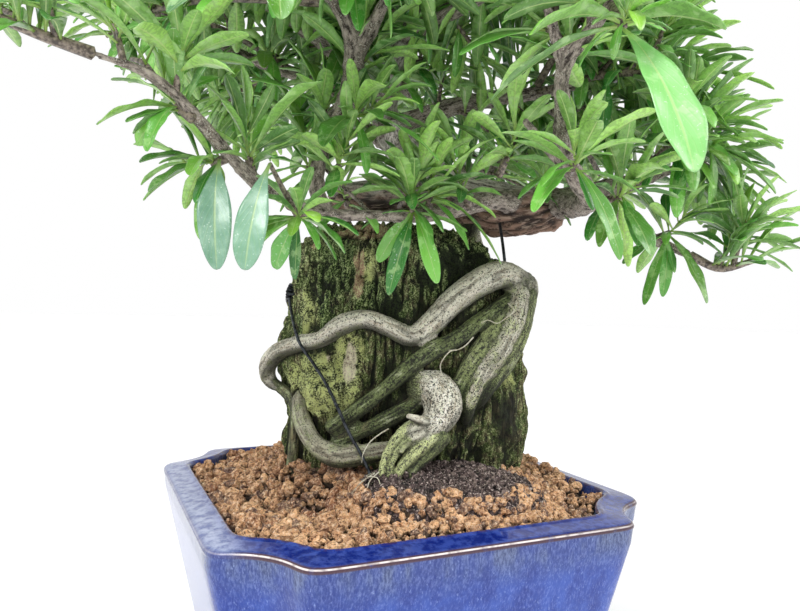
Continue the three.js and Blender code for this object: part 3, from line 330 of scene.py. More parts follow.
# Crown: the same rules as the frame's own twigs
DOME_SPRAYS = 16
CROWN_BASE = 114
CROWN_RADIUS = 108
CROWN_RISE = 98
TIP_TWIG = 22
DOME_TURNS = {2: 0.8, 6: 0.25, 10: 0.6}
CLEARANCE = 0.3
LEAVES_PER_TWIG = 24
SIDE_TWIGS = 4
LEAVES_PER_SIDE_TWIG = 14
LEAVES_PER_SHOOT = 12
LEAVES_PER_SPUR = 14
SHOOT_PITCH = 12
TWIG_RADIUS = 1.5
THINNEST_FOOT = 2.7
THICKEST_END = 2.2
LEAF_LENGTH = 24.0
LEAF_WIDTH = 5.9
LEAFY_SHARE = 0.72
LEAVES_IN_TUFT = 9
LEAF_SPREAD = (0.35, 1.3)
LEAF_SIZES = (0.82, 1.18)
LEAF_DROOP = 0.12
ANY_DEPTH = 200.0
VIEW_POINT = np.array([3.6, -263.0, 67.0])
UNDERSIDE = np.array([
    [-0.46, 0.35], [-0.38, 0.29], [-0.31, 0.24], [-0.26, 0.21], [-0.2, 0.17], [-0.12, 0.135],
    [0.3, 0.135], [0.36, 0.09], [0.44, 0.05],
])
FRONT_UNDERSIDE = 0.3

# Camera: the photographed view, in the axes of the plant
CAMERA_PLACE = np.array([3.6, -263.3, 67.1])
CAMERA_PITCH = np.radians(0.32)
CAMERA_ROLL = np.radians(1.43)
CAMERA_LENS = 31.4955
SENSOR_WIDTH = 36.0

# Stage
FLOOR_REACH = 6000
FLOOR_DEPTH = 10
PLANT_MIDDLE = np.array([0, 0, 80.0])


# Numbers and fields


def unit(vectors):
    """Each vector divided by its length."""
    return vectors / np.maximum(np.linalg.norm(vectors, axis=-1, keepdims=True), 1e-12)


def ease(x, low, high):
    """From 0 at low to 1 at high, with the cubic 3s^2 - 2s^3 between."""
    s = np.clip((np.asarray(x, float) - low) / (high - low), 0, 1)
    return s * s * (3 - 2 * s)


def chance(a, b):
    """A number from 0 to 1 that depends only on its two indices: the fraction of a long sine."""
    value = np.sin(np.asarray(a, float) * 127.1 + np.asarray(b, float) * 311.7) * 43758.5453
    return value - np.floor(value)


def lattice(places):
    """A number from 0 to 1 for each whole-number place, from products of large odd numbers."""
    x, y, z = np.moveaxis(places, -1, 0)
    h = (x * 374761393 + y * 668265263 + z * 2246822519) & 0xFFFFFFFF
    h = ((h ^ (h >> 13)) * 1274126177) & 0xFFFFFFFF
    return ((h ^ (h >> 16)) & 0xFFFF) / 65535.0


def noise(points, size, seed=0):
    """A smooth random field from -1 to 1: the corners of a cell of that size, blended by a cubic ease."""
    places = points / np.asarray(size, float) + 17.31 * seed + 100.0
    base = np.floor(places).astype(np.int64)
    share = places - base
    share = share * share * (3 - 2 * share)
    total = 0
    for corner in np.ndindex(2, 2, 2):
        weight = np.prod(np.where(corner, share, 1 - share), axis=-1)
        total = total + weight * lattice(base + np.array(corner))
    return 2 * total - 1


def layered(points, size, layers, seed=0):
    """Noise at a size, plus half as much at half the size, and so on."""
    size = np.asarray(size, float)
    return sum(noise(points, size / 2 ** k, seed + k) / 2 ** k for k in range(layers))


def srgb(red, green, blue):
    """A colour of 0 to 255 as linear light."""
    c = np.array([red, green, blue]) / 255
    return tuple(np.where(c <= 0.04045, c / 12.92, ((c + 0.055) / 1.055) ** 2.4))


def turns(count):
    """Angles evenly round a circle."""
    return np.linspace(0, 2 * np.pi, count, endpoint=False)


def circle(count):
    """Points evenly round a level circle of radius 1."""
    angle = turns(count)
    return np.stack([np.cos(angle), np.sin(angle), 0 * angle], -1)


def at_height(flat, z):
    """Level points with a height as their third number."""
    return np.concatenate([flat, np.broadcast_to(z, flat.shape[:-1])[..., None]], -1)


def turned(x, y, way):
    """x and y turned by the angle between plant and pot: one way for 1, back for -1."""
    c, s = np.cos(PLANT_TURN), way * np.sin(PLANT_TURN)
    return x * c - y * s, x * s + y * c


def in_plant(points):
    """From the pot's own axes, with z from the rim, to the axes of the plant."""
    x, y, z = np.moveaxis(points, -1, 0)
    return np.stack([*turned(x, y, 1), z], -1)


def in_frame(points):
    """From the axes of the plant in millimetres to the frame in metres: turned, then moved to the pot."""
    x, y, z = np.moveaxis(np.asarray(points, float), -1, 0)
    x, y = turned(x, y, -1)
    return np.stack([x + POT_AXIS[0], y + POT_AXIS[1], z + POT_HEIGHT], -1) * MM


def from_frame(points):
    """From the frame in metres back to the axes of the plant in millimetres."""
    return in_plant(points / MM - [*POT_AXIS, POT_HEIGHT])


def turned_in_frame(vectors):
    """A direction in the axes of the plant as a direction in the frame."""
    return (in_frame(vectors) - in_frame(np.zeros(3))) / MM


# Meshes


class Surface:
    """The points and faces of one piece, gathered from grids.

    A block holds many like shapes: shapes x rows x columns x 3. Its columns close round. Its rows
    close round too where it is a loop, and otherwise end in a pole at either end.
    """

    def __init__(self):
        self.points = []
        self.faces = []
        self.values = []
        self.total = 0

    def add(self, rings, poles=None, **values):
        """Adds a block. A value is given for each shape, row and column, or is spread over them."""
        shapes, rows, columns = rings.shape[:3]
        last = rows if poles is None else rows - 1
        row, column = np.meshgrid(np.arange(last), np.arange(columns), indexing="ij")
        above, across = (row + 1) % rows, (column + 1) % columns
        corners = [row * columns + column, row * columns + across,
                   above * columns + across, above * columns + column]
        faces = [np.stack(corners, -1).reshape(-1, 4)]
        points = rings.reshape(shapes, -1, 3)
        if poles is not None:
            column = np.arange(columns)
            across = (column + 1) % columns
            top = (rows - 1) * columns
            low = [across, column, np.full(columns, rows * columns)]
            high = [top + column, top + across, np.full(columns, rows * columns + 1)]
            faces.append(np.concatenate([np.stack(low, -1), np.stack(high, -1)]))
            points = np.concatenate([points, poles], axis=1)
        if self.volume(points[0], faces) < 0:
            faces = [kind[:, ::-1] for kind in faces]
        size = points.shape[1]
        start = self.total + size * np.arange(shapes)[:, None, None]
        for kind in faces:
            self.faces.append((start + kind).reshape(-1, kind.shape[1]))
        spread = {}
        for name, value in values.items():
            value = np.asarray(value, float)
            extra = value.shape[3:] if value.ndim == 4 else ()
            full = np.broadcast_to(value, (shapes, rows, columns) + extra)
            flat = full.reshape((shapes, -1) + extra)
            if poles is not None:
                ends = np.stack([full[:, 0].mean(1), full[:, -1].mean(1)], axis=1)
                flat = np.concatenate([flat, ends], axis=1)
            spread[name] = flat.reshape((shapes * size,) + extra)
        self.values.append((self.total, spread))
        self.points.append(points.reshape(-1, 3))
        self.total += shapes * size

    @staticmethod
    def volume(points, faces):
        """Six times the volume inside the faces: the sum of the triple products of their corners."""
        total = 0.0
        for kind in faces:
            for k in range(1, kind.shape[1] - 1):
                a, b, c = (points[kind[:, i]] for i in (0, k, k + 1))
                total += np.sum(a * np.cross(b, c))
        return total

    def mesh(self, name):
        """The gathered blocks as a mesh in the frame, with each value as an attribute or a UV map."""
        points = np.concatenate(self.points)
        corners = np.concatenate([kind.ravel() for kind in self.faces])
        counts = np.concatenate([np.full(len(kind), kind.shape[1]) for kind in self.faces])
        mesh = bpy.data.meshes.new(name)
        mesh.vertices.add(len(points))
        mesh.vertices.foreach_set("co", in_frame(points).astype(np.float32).ravel())
        mesh.loops.add(len(corners))
        mesh.loops.foreach_set("vertex_index", corners.astype(np.int32))
        mesh.polygons.add(len(counts))
        mesh.polygons.foreach_set("loop_start", (np.cumsum(counts) - counts).astype(np.int32))
        mesh.update(calc_edges=True)
        names = sorted({key for _, spread in self.values for key in spread})
        for key in names:
            kind = [spread[key] for _, spread in self.values if key in spread][0]
            whole = np.zeros((len(points),) + kind.shape[1:])
            for start, spread in self.values:
                if key in spread:
                    whole[start:start + len(spread[key])] = spread[key]
            if key == "uv":
                layer = mesh.uv_layers.new(name="UVMap")
                layer.data.foreach_set("uv", whole[corners].astype(np.float32).ravel())
            else:
                set_value(mesh, key, whole)
        mesh.shade_smooth()
        return mesh


def set_value(mesh, name, values):
    """Stores a number or a vector for each point of a mesh."""
    form, field = ("FLOAT_VECTOR", "vector") if np.ndim(values) == 2 else ("FLOAT", "value")
    attribute = mesh.attributes.new(name, form, "POINT")
    attribute.data.foreach_set(field, np.asarray(values, np.float32).ravel())


def new_object(name, data):
    """A new object in the scene, at the origin and unturned."""
    thing = bpy.data.objects.new(name, data)
    bpy.context.scene.collection.objects.link(thing)
    return thing


def put(mesh, material, slot, *nodes):
    """Shows a mesh as a piece of its name that rides with the part and stands for its nodes."""
    piece = new_object(mesh.name, mesh)
    mesh.materials.append(material)
    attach(piece, "root")
    if nodes:
        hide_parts(*nodes)


class Path:
    """A smooth curve through knots, by cubic spans whose speed follows the root of each chord."""

    def __init__(self, knots):
        self.knots = np.array(knots, float)[:, :3]

    def at(self, shares):
        """Places at shares of the way along: each span is a cubic that meets the slopes at its ends."""
        p = self.knots
        spans = len(p) - 1
        place = np.clip(np.asarray(shares, float), 0, 1) * spans
        k = np.minimum(np.floor(place).astype(int), spans - 1)
        w = (place - k)[..., None]
        long = np.concatenate([[2 * p[0] - p[1]], p, [2 * p[-1] - p[-2]]])
        a, b, c, d = long[k], long[k + 1], long[k + 2], long[k + 3]
        ab, bc, cd = (np.sqrt(np.linalg.norm(v - u, axis=-1, keepdims=True))
                      for u, v in ((a, b), (b, c), (c, d)))
        start = ((b - a) / ab - (c - a) / (ab + bc) + (c - b) / bc) * bc
        end = ((c - b) / bc - (d - b) / (bc + cd) + (d - c) / cd) * bc
        return b + start * w + (3 * c - 3 * b - 2 * start - end) * w ** 2 + (2 * b - 2 * c + start + end) * w ** 3

    def along(self, shares):
        """Direction of the curve at each share, from two places close to it."""
        low = np.clip(np.asarray(shares, float) - 1e-4, 0, 1)
        high = np.clip(np.asarray(shares, float) + 1e-4, 0, 1)
        return unit(self.at(high) - self.at(low))


class Limb:
    """A round limb along knots of x, y, z and radius: stations about a step apart, each with a frame
    that turns as little as it can from the last."""

    def __init__(self, knots, step):
        knots = np.array(knots, float)
        path = Path(knots)
        chords = np.linalg.norm(np.diff(knots[:, :3], axis=0), axis=1)
        count = max(4, int(chords.sum() / step))
        walk = np.interp(np.linspace(0, chords.sum(), count), np.concatenate([[0], np.cumsum(chords)]),
                         np.arange(len(knots)))
        self.share = walk / (len(knots) - 1)
        self.centre = path.at(self.share)
        self.along = path.along(self.share)
        self.radius = np.interp(walk, np.arange(len(knots)), knots[:, 3])
        steps = np.linalg.norm(np.diff(self.centre, axis=0), axis=1)
        self.length = np.concatenate([[0], np.cumsum(steps)])
        normal = np.array([1.0, 0, 0]) if abs(self.along[0, 2]) > 0.8 else UP
        normals = []
        for along in self.along:
            normal = unit(normal - along * np.dot(along, normal))
            normals.append(normal)
        self.normal = np.array(normals)
        self.side = np.cross(self.along, self.normal)

    def tube(self, sides, radius=None):
        """Rings round the stations, and poles that bulge past both ends."""
        radius = self.radius if radius is None else radius
        angle = turns(sides)
        round_ = (np.cos(angle)[:, None] * self.normal[:, None] + np.sin(angle)[:, None] * self.side[:, None])
        radius = np.broadcast_to(radius, (len(self.centre),))
        rings = self.centre[:, None] + radius[:, None, None] * round_
        poles = np.stack([self.centre[0] - END_BULGE * radius[0] * self.along[0],
                          self.centre[-1] + END_BULGE * radius[-1] * self.along[-1]])
        return rings[None], poles[None]


def even_limb(places, radius, step):
    """A limb of the same radius all along."""
    return Limb([[*p, radius] for p in places], step)


# Shaders


class Field:
    """A value worked out over a surface. Arithmetic on it adds Math nodes."""

    def __init__(self, board, socket):
        self.board = board
        self.socket = socket

    def math(self, operation, *values):
        return self.board.make("Math", {"operation": operation}, dict(enumerate(values)))

    def __add__(self, other):
        return self.math("ADD", self, other)

    def __sub__(self, other):
        return self.math("SUBTRACT", self, other)

    def __rsub__(self, other):
        return self.math("SUBTRACT", other, self)

    def __mul__(self, other):
        return self.math("MULTIPLY", self, other)

    __radd__ = __add__
    __rmul__ = __mul__

    def alone(self, operation):
        """A Math node of one input, such as a fraction or a sine."""
        return self.math(operation, self)

    def highest(self, other):
        return self.math("MAXIMUM", self, other)

    def step(self, low, high):
        """From 0 at low to 1 at high, eased."""
        return self.board.make("MapRange", {"interpolation_type": "SMOOTHSTEP"}, {0: self, 1: low, 2: high})


class Board:
    """A board of shader nodes."""

    def __init__(self, tree):
        self.nodes = tree.nodes
        self.links = tree.links

    def make(self, kind, settings, inputs, output=0):
        """One node: its settings first, then the value or link of each socket."""
        node = self.nodes.new("ShaderNode" + kind)
        for name, value in settings.items():
            setattr(node, name, value)
        for key, value in inputs.items():
            if isinstance(value, Field):
                self.links.new(value.socket, node.inputs[key])
            else:
                node.inputs[key].default_value = value
        return Field(self, node.outputs[output])

    def value(self, name):
        return self.make("Attribute", {"attribute_name": name}, {}, 2)

    def vector(self, name):
        return self.make("Attribute", {"attribute_name": name}, {}, 1)

    def place(self):
        return self.make("TexCoord", {}, {}, 3)

    def split(self, vector):
        node = self.nodes.new("ShaderNodeSeparateXYZ")
        self.links.new(vector.socket, node.inputs[0])
        return [Field(self, node.outputs[k]) for k in range(3)]

    def stretched(self, vector, scale):
        return self.make("Mapping", {}, {"Vector": vector, "Scale": scale})

    def noise(self, vector, size, detail=3.0, roughness=0.55):
        """Noise whose patches are about a size across, in the units of the vector."""
        return self.make("TexNoise", {}, {
            "Vector": vector, "Scale": 1 / size, "Detail": detail, "Roughness": roughness})

    def mix(self, share, first, second):
        """First colour at share 0, second at share 1."""
        colours = [c if isinstance(c, Field) else tuple(c) + (1.0,) for c in (first, second)]
        return self.make("Mix", {"data_type": "RGBA"}, {0: share, 6: colours[0], 7: colours[1]}, 2)

    def layers(self, colour, *rows):
        """A colour with others laid over it in turn: each row is a share and the colour it brings in."""
        for share, over in rows:
            colour = self.mix(share, colour, over)
        return colour

    def bump(self, height, strength, distance):
        return self.make("Bump", {}, {"Height": height, "Strength": strength, "Distance": distance})


class Finish(Board):
    """The nodes of one material, around its shader. Constants are set on the shader itself."""

    def __init__(self, name, **constants):
        self.material = bpy.data.materials.new(name)
        self.material.use_nodes = True
        super().__init__(self.material.node_tree)
        self.shader = self.nodes["Principled BSDF"]
        for socket, value in constants.items():
            self.shader.inputs[socket.replace("_", " ")].default_value = value

    def finish(self, **links):
        for socket, value in links.items():
            self.links.new(value.socket, self.shader.inputs[socket.replace("_", " ")])
        return self.material


# Settings


def colour_of(name, description, default):
    """A colour that the user may change."""
    return FloatVectorProperty(name=name, description=description, subtype="COLOR", default=default, min=0, max=1)


def length_of(name, description, default, low, high):
    """A length that the user may change, given here in millimetres."""
    return FloatProperty(
        name=name, description=description, unit="LENGTH", default=default * MM, min=low * MM, max=high * MM)


class PotSettings(bpy.types.PropertyGroup):
    glaze_deep: colour_of("Deep glaze", "Colour of the glaze where it is thick", srgb(12, 30, 108))
    glaze_pale: colour_of("Pale glaze", "Colour of the fine streaks in the wall's glaze", srgb(138, 156, 226))
    worn_edge: colour_of("Worn edge", "Colour where the glaze runs thin over an edge", srgb(72, 48, 48))
    edge_round: length_of("Rim rounding", "Radius of the rim's outer edge", 1.7, 0.2, 3)


class SoilSettings(bpy.types.PropertyGroup):
    grain_pitch: length_of("Grain pitch", "Distance between neighbouring grains", 4.9, 2, 12)
    grain_light: colour_of("Light grains", "Colour of the palest baked clay grains", srgb(238, 190, 144))
    grain_dark: colour_of("Dark grains", "Colour of the darkest baked clay grains", srgb(146, 98, 72))
    muck: colour_of("Muck", "Colour of the peaty mounds", srgb(100, 82, 80))


class RockSettings(bpy.types.PropertyGroup):
    fibre_depth: length_of("Strata depth", "Depth of the upright grooves in the rock", 1.5, 0, 4)
    stone: colour_of("Stone", "Colour of the bare rock", srgb(126, 118, 82))
    moss: colour_of("Moss", "Colour of the dark moss", srgb(114, 144, 74))
    lime: colour_of("Bright moss", "Colour of the bright moss", srgb(204, 212, 136))


class WoodSettings(bpy.types.PropertyGroup):
    cell: length_of("Cell", "Cell size of the skin that joins the limbs", 0.8, 0.5, 3)
    bark_depth: length_of("Bark depth", "Depth of the cracks in the old bark", 1.3, 0, 4)
    pale: colour_of("Pale root", "Colour of the bleached roots", srgb(212, 209, 192))
    green: colour_of("Green root", "Colour of the algae on the roots", srgb(86, 104, 56))
    bark: colour_of("Bark", "Colour of the bark", srgb(136, 108, 92))


class LeafSettings(bpy.types.PropertyGroup):
    thickness: length_of("Thickness", "Thickness of a blade at its middle", 0.45, 0.1, 2)
    upper: colour_of("Upper side", "Colour of an old leaf from above", srgb(54, 138, 44))
    young: colour_of("Young leaf", "Colour of a young leaf from above", srgb(150, 204, 66))
    under: colour_of("Underside", "Colour of a leaf from below", srgb(178, 228, 112))
    side_twigs: IntProperty(
        name="Side twigs", description="Side twigs on each twig of the crown", default=SIDE_TWIGS, min=0, max=6)


class StageSettings(bpy.types.PropertyGroup):
    floor: colour_of("Floor", "Colour of the floor", (0.97, 0.97, 0.97))
    key_power: FloatProperty(
        name="Key light", description="Power of the soft light over the front", unit="POWER",
        default=4.4, min=0, max=500)
    sun: FloatProperty(
        name="Even light", description="Strength of the wide light from above, the same everywhere",
        default=1.0, min=0, max=20)
    sky: FloatProperty(
        name="Surroundings", description="Brightness of the white surroundings near the floor",
        default=1.0, min=0, max=5)
    ceiling: FloatProperty(
        name="Ceiling", description="Brightness of the surroundings straight above",
        default=0.6, min=0, max=5)


# Pot


SIDE_COLUMNS = 50
ARC_COLUMNS = 36
TIP_ROUNDS = 24
INNER_ROUND = 1.5


def wall_half(z):
    """Half width of the outer wall at a height above the table."""
    down = POT_HEIGHT - z
    lip = np.minimum(down, LIP_HEIGHT)
    return POT_WIDTH / 2 - lip * LIP_SLOPE - (down - lip) * WALL_SLOPE


def outline(z, inset=0.0):
    """Rings of the pot's outline at heights above the table, drawn in all round by an inset: four
    straight sides, and between them arcs about the corners of the outer outline. The points of a side
    are drawn towards its ends, and the tips are rounded at last by moving each point towards the middle
    of its neighbours, again and again."""
    spread = np.linspace(-1, 1, SIDE_COLUMNS)
    spread = 0.25 * spread + 0.75 * np.sin(spread * np.pi / 2)
    half, inset = (row[:, None] for row in np.broadcast_arrays(wall_half(np.asarray(z, float)), inset))
    radius = SCOOP_RADIUS * half / (POT_WIDTH / 2) + inset
    end = half - np.sqrt(radius ** 2 - inset ** 2) - TIP
    trim = np.arcsin(inset / radius) + TIP / radius
    angle = 1.5 * np.pi - trim + (2 * trim - np.pi / 2) * np.linspace(0, 1, ARC_COLUMNS)
    x = np.concatenate([half - inset + 0 * spread, half + radius * np.cos(angle)], axis=1)
    y = np.concatenate([end * spread, half + radius * np.sin(angle)], axis=1)
    quarters = [np.stack(pair, -1) for pair in ((x, y), (-y, x), (-x, -y), (y, -x))]
    ring = np.concatenate(quarters, axis=1)
    for _ in range(TIP_ROUNDS):
        ring = 0.5 * ring + 0.25 * (np.roll(ring, 1, axis=1) + np.roll(ring, -1, axis=1))
    return ring


def drain_ring(ring):
    """The circle of the drain hole, each point in the direction of the outline's own."""
    return DRAIN_RADIUS * unit(ring)


def pot_shell(edge_round):
    """One closed skin: from the drain hole over the floor, up the inner wall, over the rim, down the
    outer wall, under the feet and back to the hole. Each row is an outline at some height; the floor
    and the underside blend it into the circle of the hole."""
    rows = []

    def add(xy, z, top=0.0, rim=0.0, edge=0.0):
        rows.append([at_height(xy, z),
                     *(np.full(xy.shape[:2], np.asarray(v, float).reshape(-1, 1)) for v in (top, rim, edge))])

    floor = outline([FLOOR_TOP], WALL_THICKNESS)
    for share in (0.0, 0.08, 0.3, 0.6, 0.9):
        add((1 - share) * drain_ring(floor) + share * floor, FLOOR_TOP)
    lip_low = POT_HEIGHT - LIP_HEIGHT
    z = np.array([FLOOR_TOP + 0.4, FLOOR_TOP + 8, 50, POT_HEIGHT - 2.2 * LIP_HEIGHT, lip_low, POT_HEIGHT - 3.0])
    add(outline(z, np.where(z > lip_low - 0.1, RIM_WIDTH, WALL_THICKNESS)), z[:, None])
    turn = np.linspace(0, np.pi / 2, 6)
    inset = RIM_WIDTH - INNER_ROUND * (1 - np.cos(turn))
    z = POT_HEIGHT + RIM_RISE - INNER_ROUND * (1 - np.sin(turn))
    add(outline(POT_HEIGHT, inset), z[:, None], top=np.linspace(0.3, 1, 6), rim=np.sin(turn))
    inset = np.linspace(RIM_WIDTH - INNER_ROUND - 0.6, edge_round + 0.5, 8)
    z = POT_HEIGHT + RIM_RISE * (inset / RIM_WIDTH) ** 1.3 - 0.1
    add(outline(POT_HEIGHT, inset), z[:, None], top=1.0, edge=np.linspace(0, 0.1, 8))
    turn = np.linspace(0, np.pi / 2, 10)
    inset = edge_round * (1 - np.sin(turn))
    z = POT_HEIGHT - edge_round * (1 - np.cos(turn))
    add(outline(POT_HEIGHT, inset), z[:, None], top=np.linspace(1, 0, 10), edge=np.linspace(0.15, 0.65, 10))
    z = np.concatenate([POT_HEIGHT - edge_round - np.array([0.5, 1.2, 2.2, 3.6, 5.2]), np.linspace(lip_low, 3.0, 20)])
    add(outline(z), z[:, None], edge=np.concatenate([[0.75, 0.88, 0.96, 1.0, 1.0], np.ones(20)]))
    add(outline([0.8]), 0.8, edge=1.0)
    base = outline([0.0], 1.0)
    for share in np.linspace(1, 0, 24):
        add((1 - share) * drain_ring(base) + share * base, 0.0, edge=1.0)
    points, top, rim, edge = (np.concatenate(part) for part in zip(*rows))
    raised = FOOT_LIFT * (1 - foot_share(points[..., 0]) * foot_share(points[..., 1]))
    height = np.maximum(points[..., 2], 0)
    points[..., 2] = np.where(points[..., 2] < 3.5, height + raised * (1 - points[..., 2] / 12), height)
    hole = [at_height(drain_ring(base), z) for z in (FOOT_LIFT + 1.0, FLOOR_TOP - 1.0)]
    extra = np.zeros((len(hole), points.shape[1]))
    return np.concatenate([points, *hole]), *(np.concatenate([part, extra]) for part in (top, rim, edge))


def foot_share(across):
    """1 over a foot and 0 over the arch between two feet, eased over a few millimetres."""
    half_gap = wall_half(0.0) - FOOT_WIDTH
    return ease(np.abs(across), half_gap - 1.5, half_gap + 2.0)


def glaze(settings):
    """Blue glaze: deep on the rim, on the walls a soft blue with fine flecks that run down, greyish just
    below the rim. At the rim's edge it thins to a narrow brown line, with a pale line along its middle
    that is a painted highlight, painted weaker over the right half. The left end of the rim top is
    painted milky as a painted reflection of the pale surroundings, and there the brown line and the
    painted highlight fade out."""
    board = Finish("glaze", Roughness=0.13, Coat_Weight=0.1, Coat_Roughness=0.05, IOR=1.37)
    place = board.place()
    across, _, height = board.split(place)
    runs = board.noise(board.stretched(place, (1, 1, 0.3)), 0.6 * MM, 4, 0.75)
    broad = board.noise(board.stretched(place, (1, 1, 0.4)), 9 * MM, 3, 0.6)
    clouds = board.noise(place, 3.5 * MM, 4, 0.65)
    flecks = board.noise(board.stretched(place, (1, 1, 0.4)), 0.6 * MM, 2).step(0.64, 0.74)
    below = height.step(POT_HEIGHT * MM - 0.016, POT_HEIGHT * MM - 0.003)
    greyish = board.mix(runs.step(0.36, 0.64), srgb(52, 62, 98), srgb(100, 112, 146))
    wall = board.layers(
        srgb(30, 52, 130), ((broad * 0.7 + clouds * 0.3).step(0.36, 0.64), srgb(50, 78, 160)),
        (runs.step(0.46, 0.7) * 0.26, settings.glaze_pale),
        ((1 - runs.step(0.3, 0.46)) * 0.2, srgb(30, 46, 126)),
        (below * (0.35 + 0.6 * broad.step(0.36, 0.6)), greyish), (flecks * 0.3, srgb(160, 180, 232)))
    left = POT_AXIS[0] - POT_WIDTH / 2
    # The left end of the rim top is painted milky: a painted reflection of the pale surroundings. The brown edge line
    # and the painted highlight are faded out there.
    thick = 1 - across.step((left + 3) * MM, (left + 14) * MM)
    deep = board.mix(clouds.step(0.4, 0.62) * (0.35 + 0.5 * broad), settings.glaze_deep, srgb(60, 82, 164))
    # Colour of that painted reflection.
    milky_reflection = board.mix(clouds.step(0.34, 0.62), srgb(96, 110, 160), srgb(176, 184, 208))
    edge = board.value("edge")
    uneven = board.noise(place, 4 * MM, 3)
    brown = edge.step(0.28, 0.38) * (1 - edge.step(0.62, 0.74)) * uneven.step(0.2, 0.42)
    worn = brown.highest(board.value("rim") * board.noise(place, 2 * MM, 3).step(0.4, 0.62) * 0.9)
    # A painted highlight: a pale line along the middle of the rim's rounded edge.
    pale = edge.step(0.41, 0.44) * (1 - edge.step(0.49, 0.53)) * (0.35 + 0.5 * uneven.step(0.36, 0.56))
    shown = 1 - thick * 0.8
    # Share towards the right half of the pot, over which the painted highlight is painted weaker.
    highlight_fade_right = across.step(POT_AXIS[0] * MM, (POT_AXIS[0] + POT_WIDTH / 2) * MM)
    colour = board.layers(
        wall, (board.value("top"), board.mix(thick * 0.75, deep, milky_reflection)),
        (worn * 0.9 * shown, settings.worn_edge), (pale * shown * (1 - 0.65 * highlight_fade_right), srgb(230, 220, 218)))
    wavy = board.noise(place, 7 * MM, 3) + 0.14 * clouds + 0.03 * runs
    return board.finish(Base_Color=colour, Normal=board.bump(wavy, 0.5, 0.5 * MM))


def plastic():
    """Matt dark plastic with a faint grain."""
    board = Finish("drain_plastic", Roughness=0.6)
    place = board.place()
    grain = board.noise(place, 0.5 * MM, 3)
    colour = board.mix(grain, srgb(26, 28, 32), srgb(44, 46, 50))
    return board.finish(Base_Color=colour, Normal=board.bump(grain, 0.3, 0.1 * MM))


class BONSAI_OT_pot(bpy.types.Operator):
    """Build the glazed pot and finish the mesh over its drain hole"""

    bl_idname = "bonsai.pot"
    bl_label = "Pot"

    def execute(self, context):
        settings = context.scene.bonsai_pot
        points, top, rim, edge = pot_shell(settings.edge_round / MM)
        surface = Surface()
        placed = in_plant(points - POT_HEIGHT * UP)
        surface.add(placed[None], top=top[None], rim=rim[None], edge=edge[None])
        put(surface.mesh("glazed_pot"), glaze(settings), "glaze", "pot")
        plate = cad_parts["drain_mesh"]
        plate.data.materials.clear()
        plate.data.materials.append(plastic())
        return {"FINISHED"}


# Soil and muck


def rock_sides(z):
    """Left, right, front and back of the rock at each height."""
    return [np.interp(z, ROCK_LEVELS[:, 0], ROCK_LEVELS[:, k]) for k in (1, 2, 3, 4)]


def soil_height(x, y):
    """Height of the soil over the rim: level at the wall and rising towards the rock, less at its right."""
    left, right, front, back = ROCK_LEVELS[SOIL_LEVEL, 1:]
    away = np.hypot((2 * x - left - right) / (right - left), (2 * y - front - back) / (back - front)) - 1
    distance = np.maximum(0, away * (right - left) / 2)
    rise = SOIL_RISE - SOIL_LESS_RIGHT * ease(x, 36, 52) * ease(y, -32, -8)
    return SOIL_EDGE + rise * ease(1 - distance / SOIL_SLOPE_WIDTH, 0, 1)


def muck_height(x, y):
    """Height of the peaty mounds: the upper half of each oval, and far down outside them."""
    tops = []
    for cx, cy, cz, rx, ry, rz in MOUNDS:
        out = np.hypot((x - cx) / rx, (y - cy) / ry)
        tops.append(np.where(out < 1, cz + rz * np.sqrt(np.maximum(0, 1 - out ** 2)), -50.0))
    return np.max(tops, axis=0)


def soil_bed():
    """The body of the soil: rings of the pot's inner outline grown from a pole over the uneven top, then
    down the inner wall and back to a pole underneath."""
    rim = outline([POT_HEIGHT - 1.0], RIM_WIDTH + BED_GAP)[0]
    shares = np.linspace(0.03, 1, 44) ** 0.9
    top = in_plant(at_height(shares[:, None, None] * rim, 0.0))
    lumps = layered(top * [1, 1, 0], 4.5, 2, 5)
    top[..., 2] = soil_height(top[..., 0], top[..., 1]) - BED_DEPTH + 0.9 * lumps
    walls = [at_height(outline([z], RIM_WIDTH + BED_GAP), z - POT_HEIGHT)
             for z in (POT_HEIGHT - 12, 60.0, FLOOR_TOP + 1.6)]
    low = walls[-1][0]
    under = np.stack([low * [share, share, 1] for share in (0.7, 0.35, 0.1)])
    rings = np.concatenate([top, in_plant(np.concatenate(walls)), in_plant(under)])
    poles = np.stack([[0, 0, soil_height(0.0, 0.0) - BED_DEPTH], [0, 0, low[0, 2]]])
    return rings[None], poles[None]


def pebbles(centres, sizes, rows, columns, seed, rough):
    """Angular grains: in every direction the surface lies on the nearest of a grain's random planes, then
    each point is moved a little in or out."""
    draw = np.random.default_rng(seed)
    count = len(centres)
    polar = np.linspace(0, np.pi, rows + 2)
    p, a = np.meshgrid(polar[1:-1], turns(columns), indexing="ij")
    ways = np.stack([np.sin(p) * np.cos(a), np.sin(p) * np.sin(a), np.cos(p)], -1).reshape(-1, 3)
    ways = np.concatenate([ways, [[0, 0, 1.0], [0, 0, -1.0]]])
    planes = unit(draw.normal(size=(count, 10, 3)))
    distances = draw.uniform(0.6, 1.0, (count, 10))
    facing = np.einsum("dk,npk->ndp", ways, planes)
    reach = np.where(facing > 0.1, distances[:, None] / np.maximum(facing, 0.1), 9.0).min(axis=2)
    reach = np.minimum(reach, 1.15) * (1 + rough * draw.normal(size=reach.shape))
    stretch = draw.uniform(0.74, 1.2, (count, 1, 3))
    points = centres[:, None] + sizes[:, None, None] * reach[..., None] * ways * stretch
    rings = points[:, :-2].reshape(count, rows, columns, 3)
    return rings, points[:, -2:]


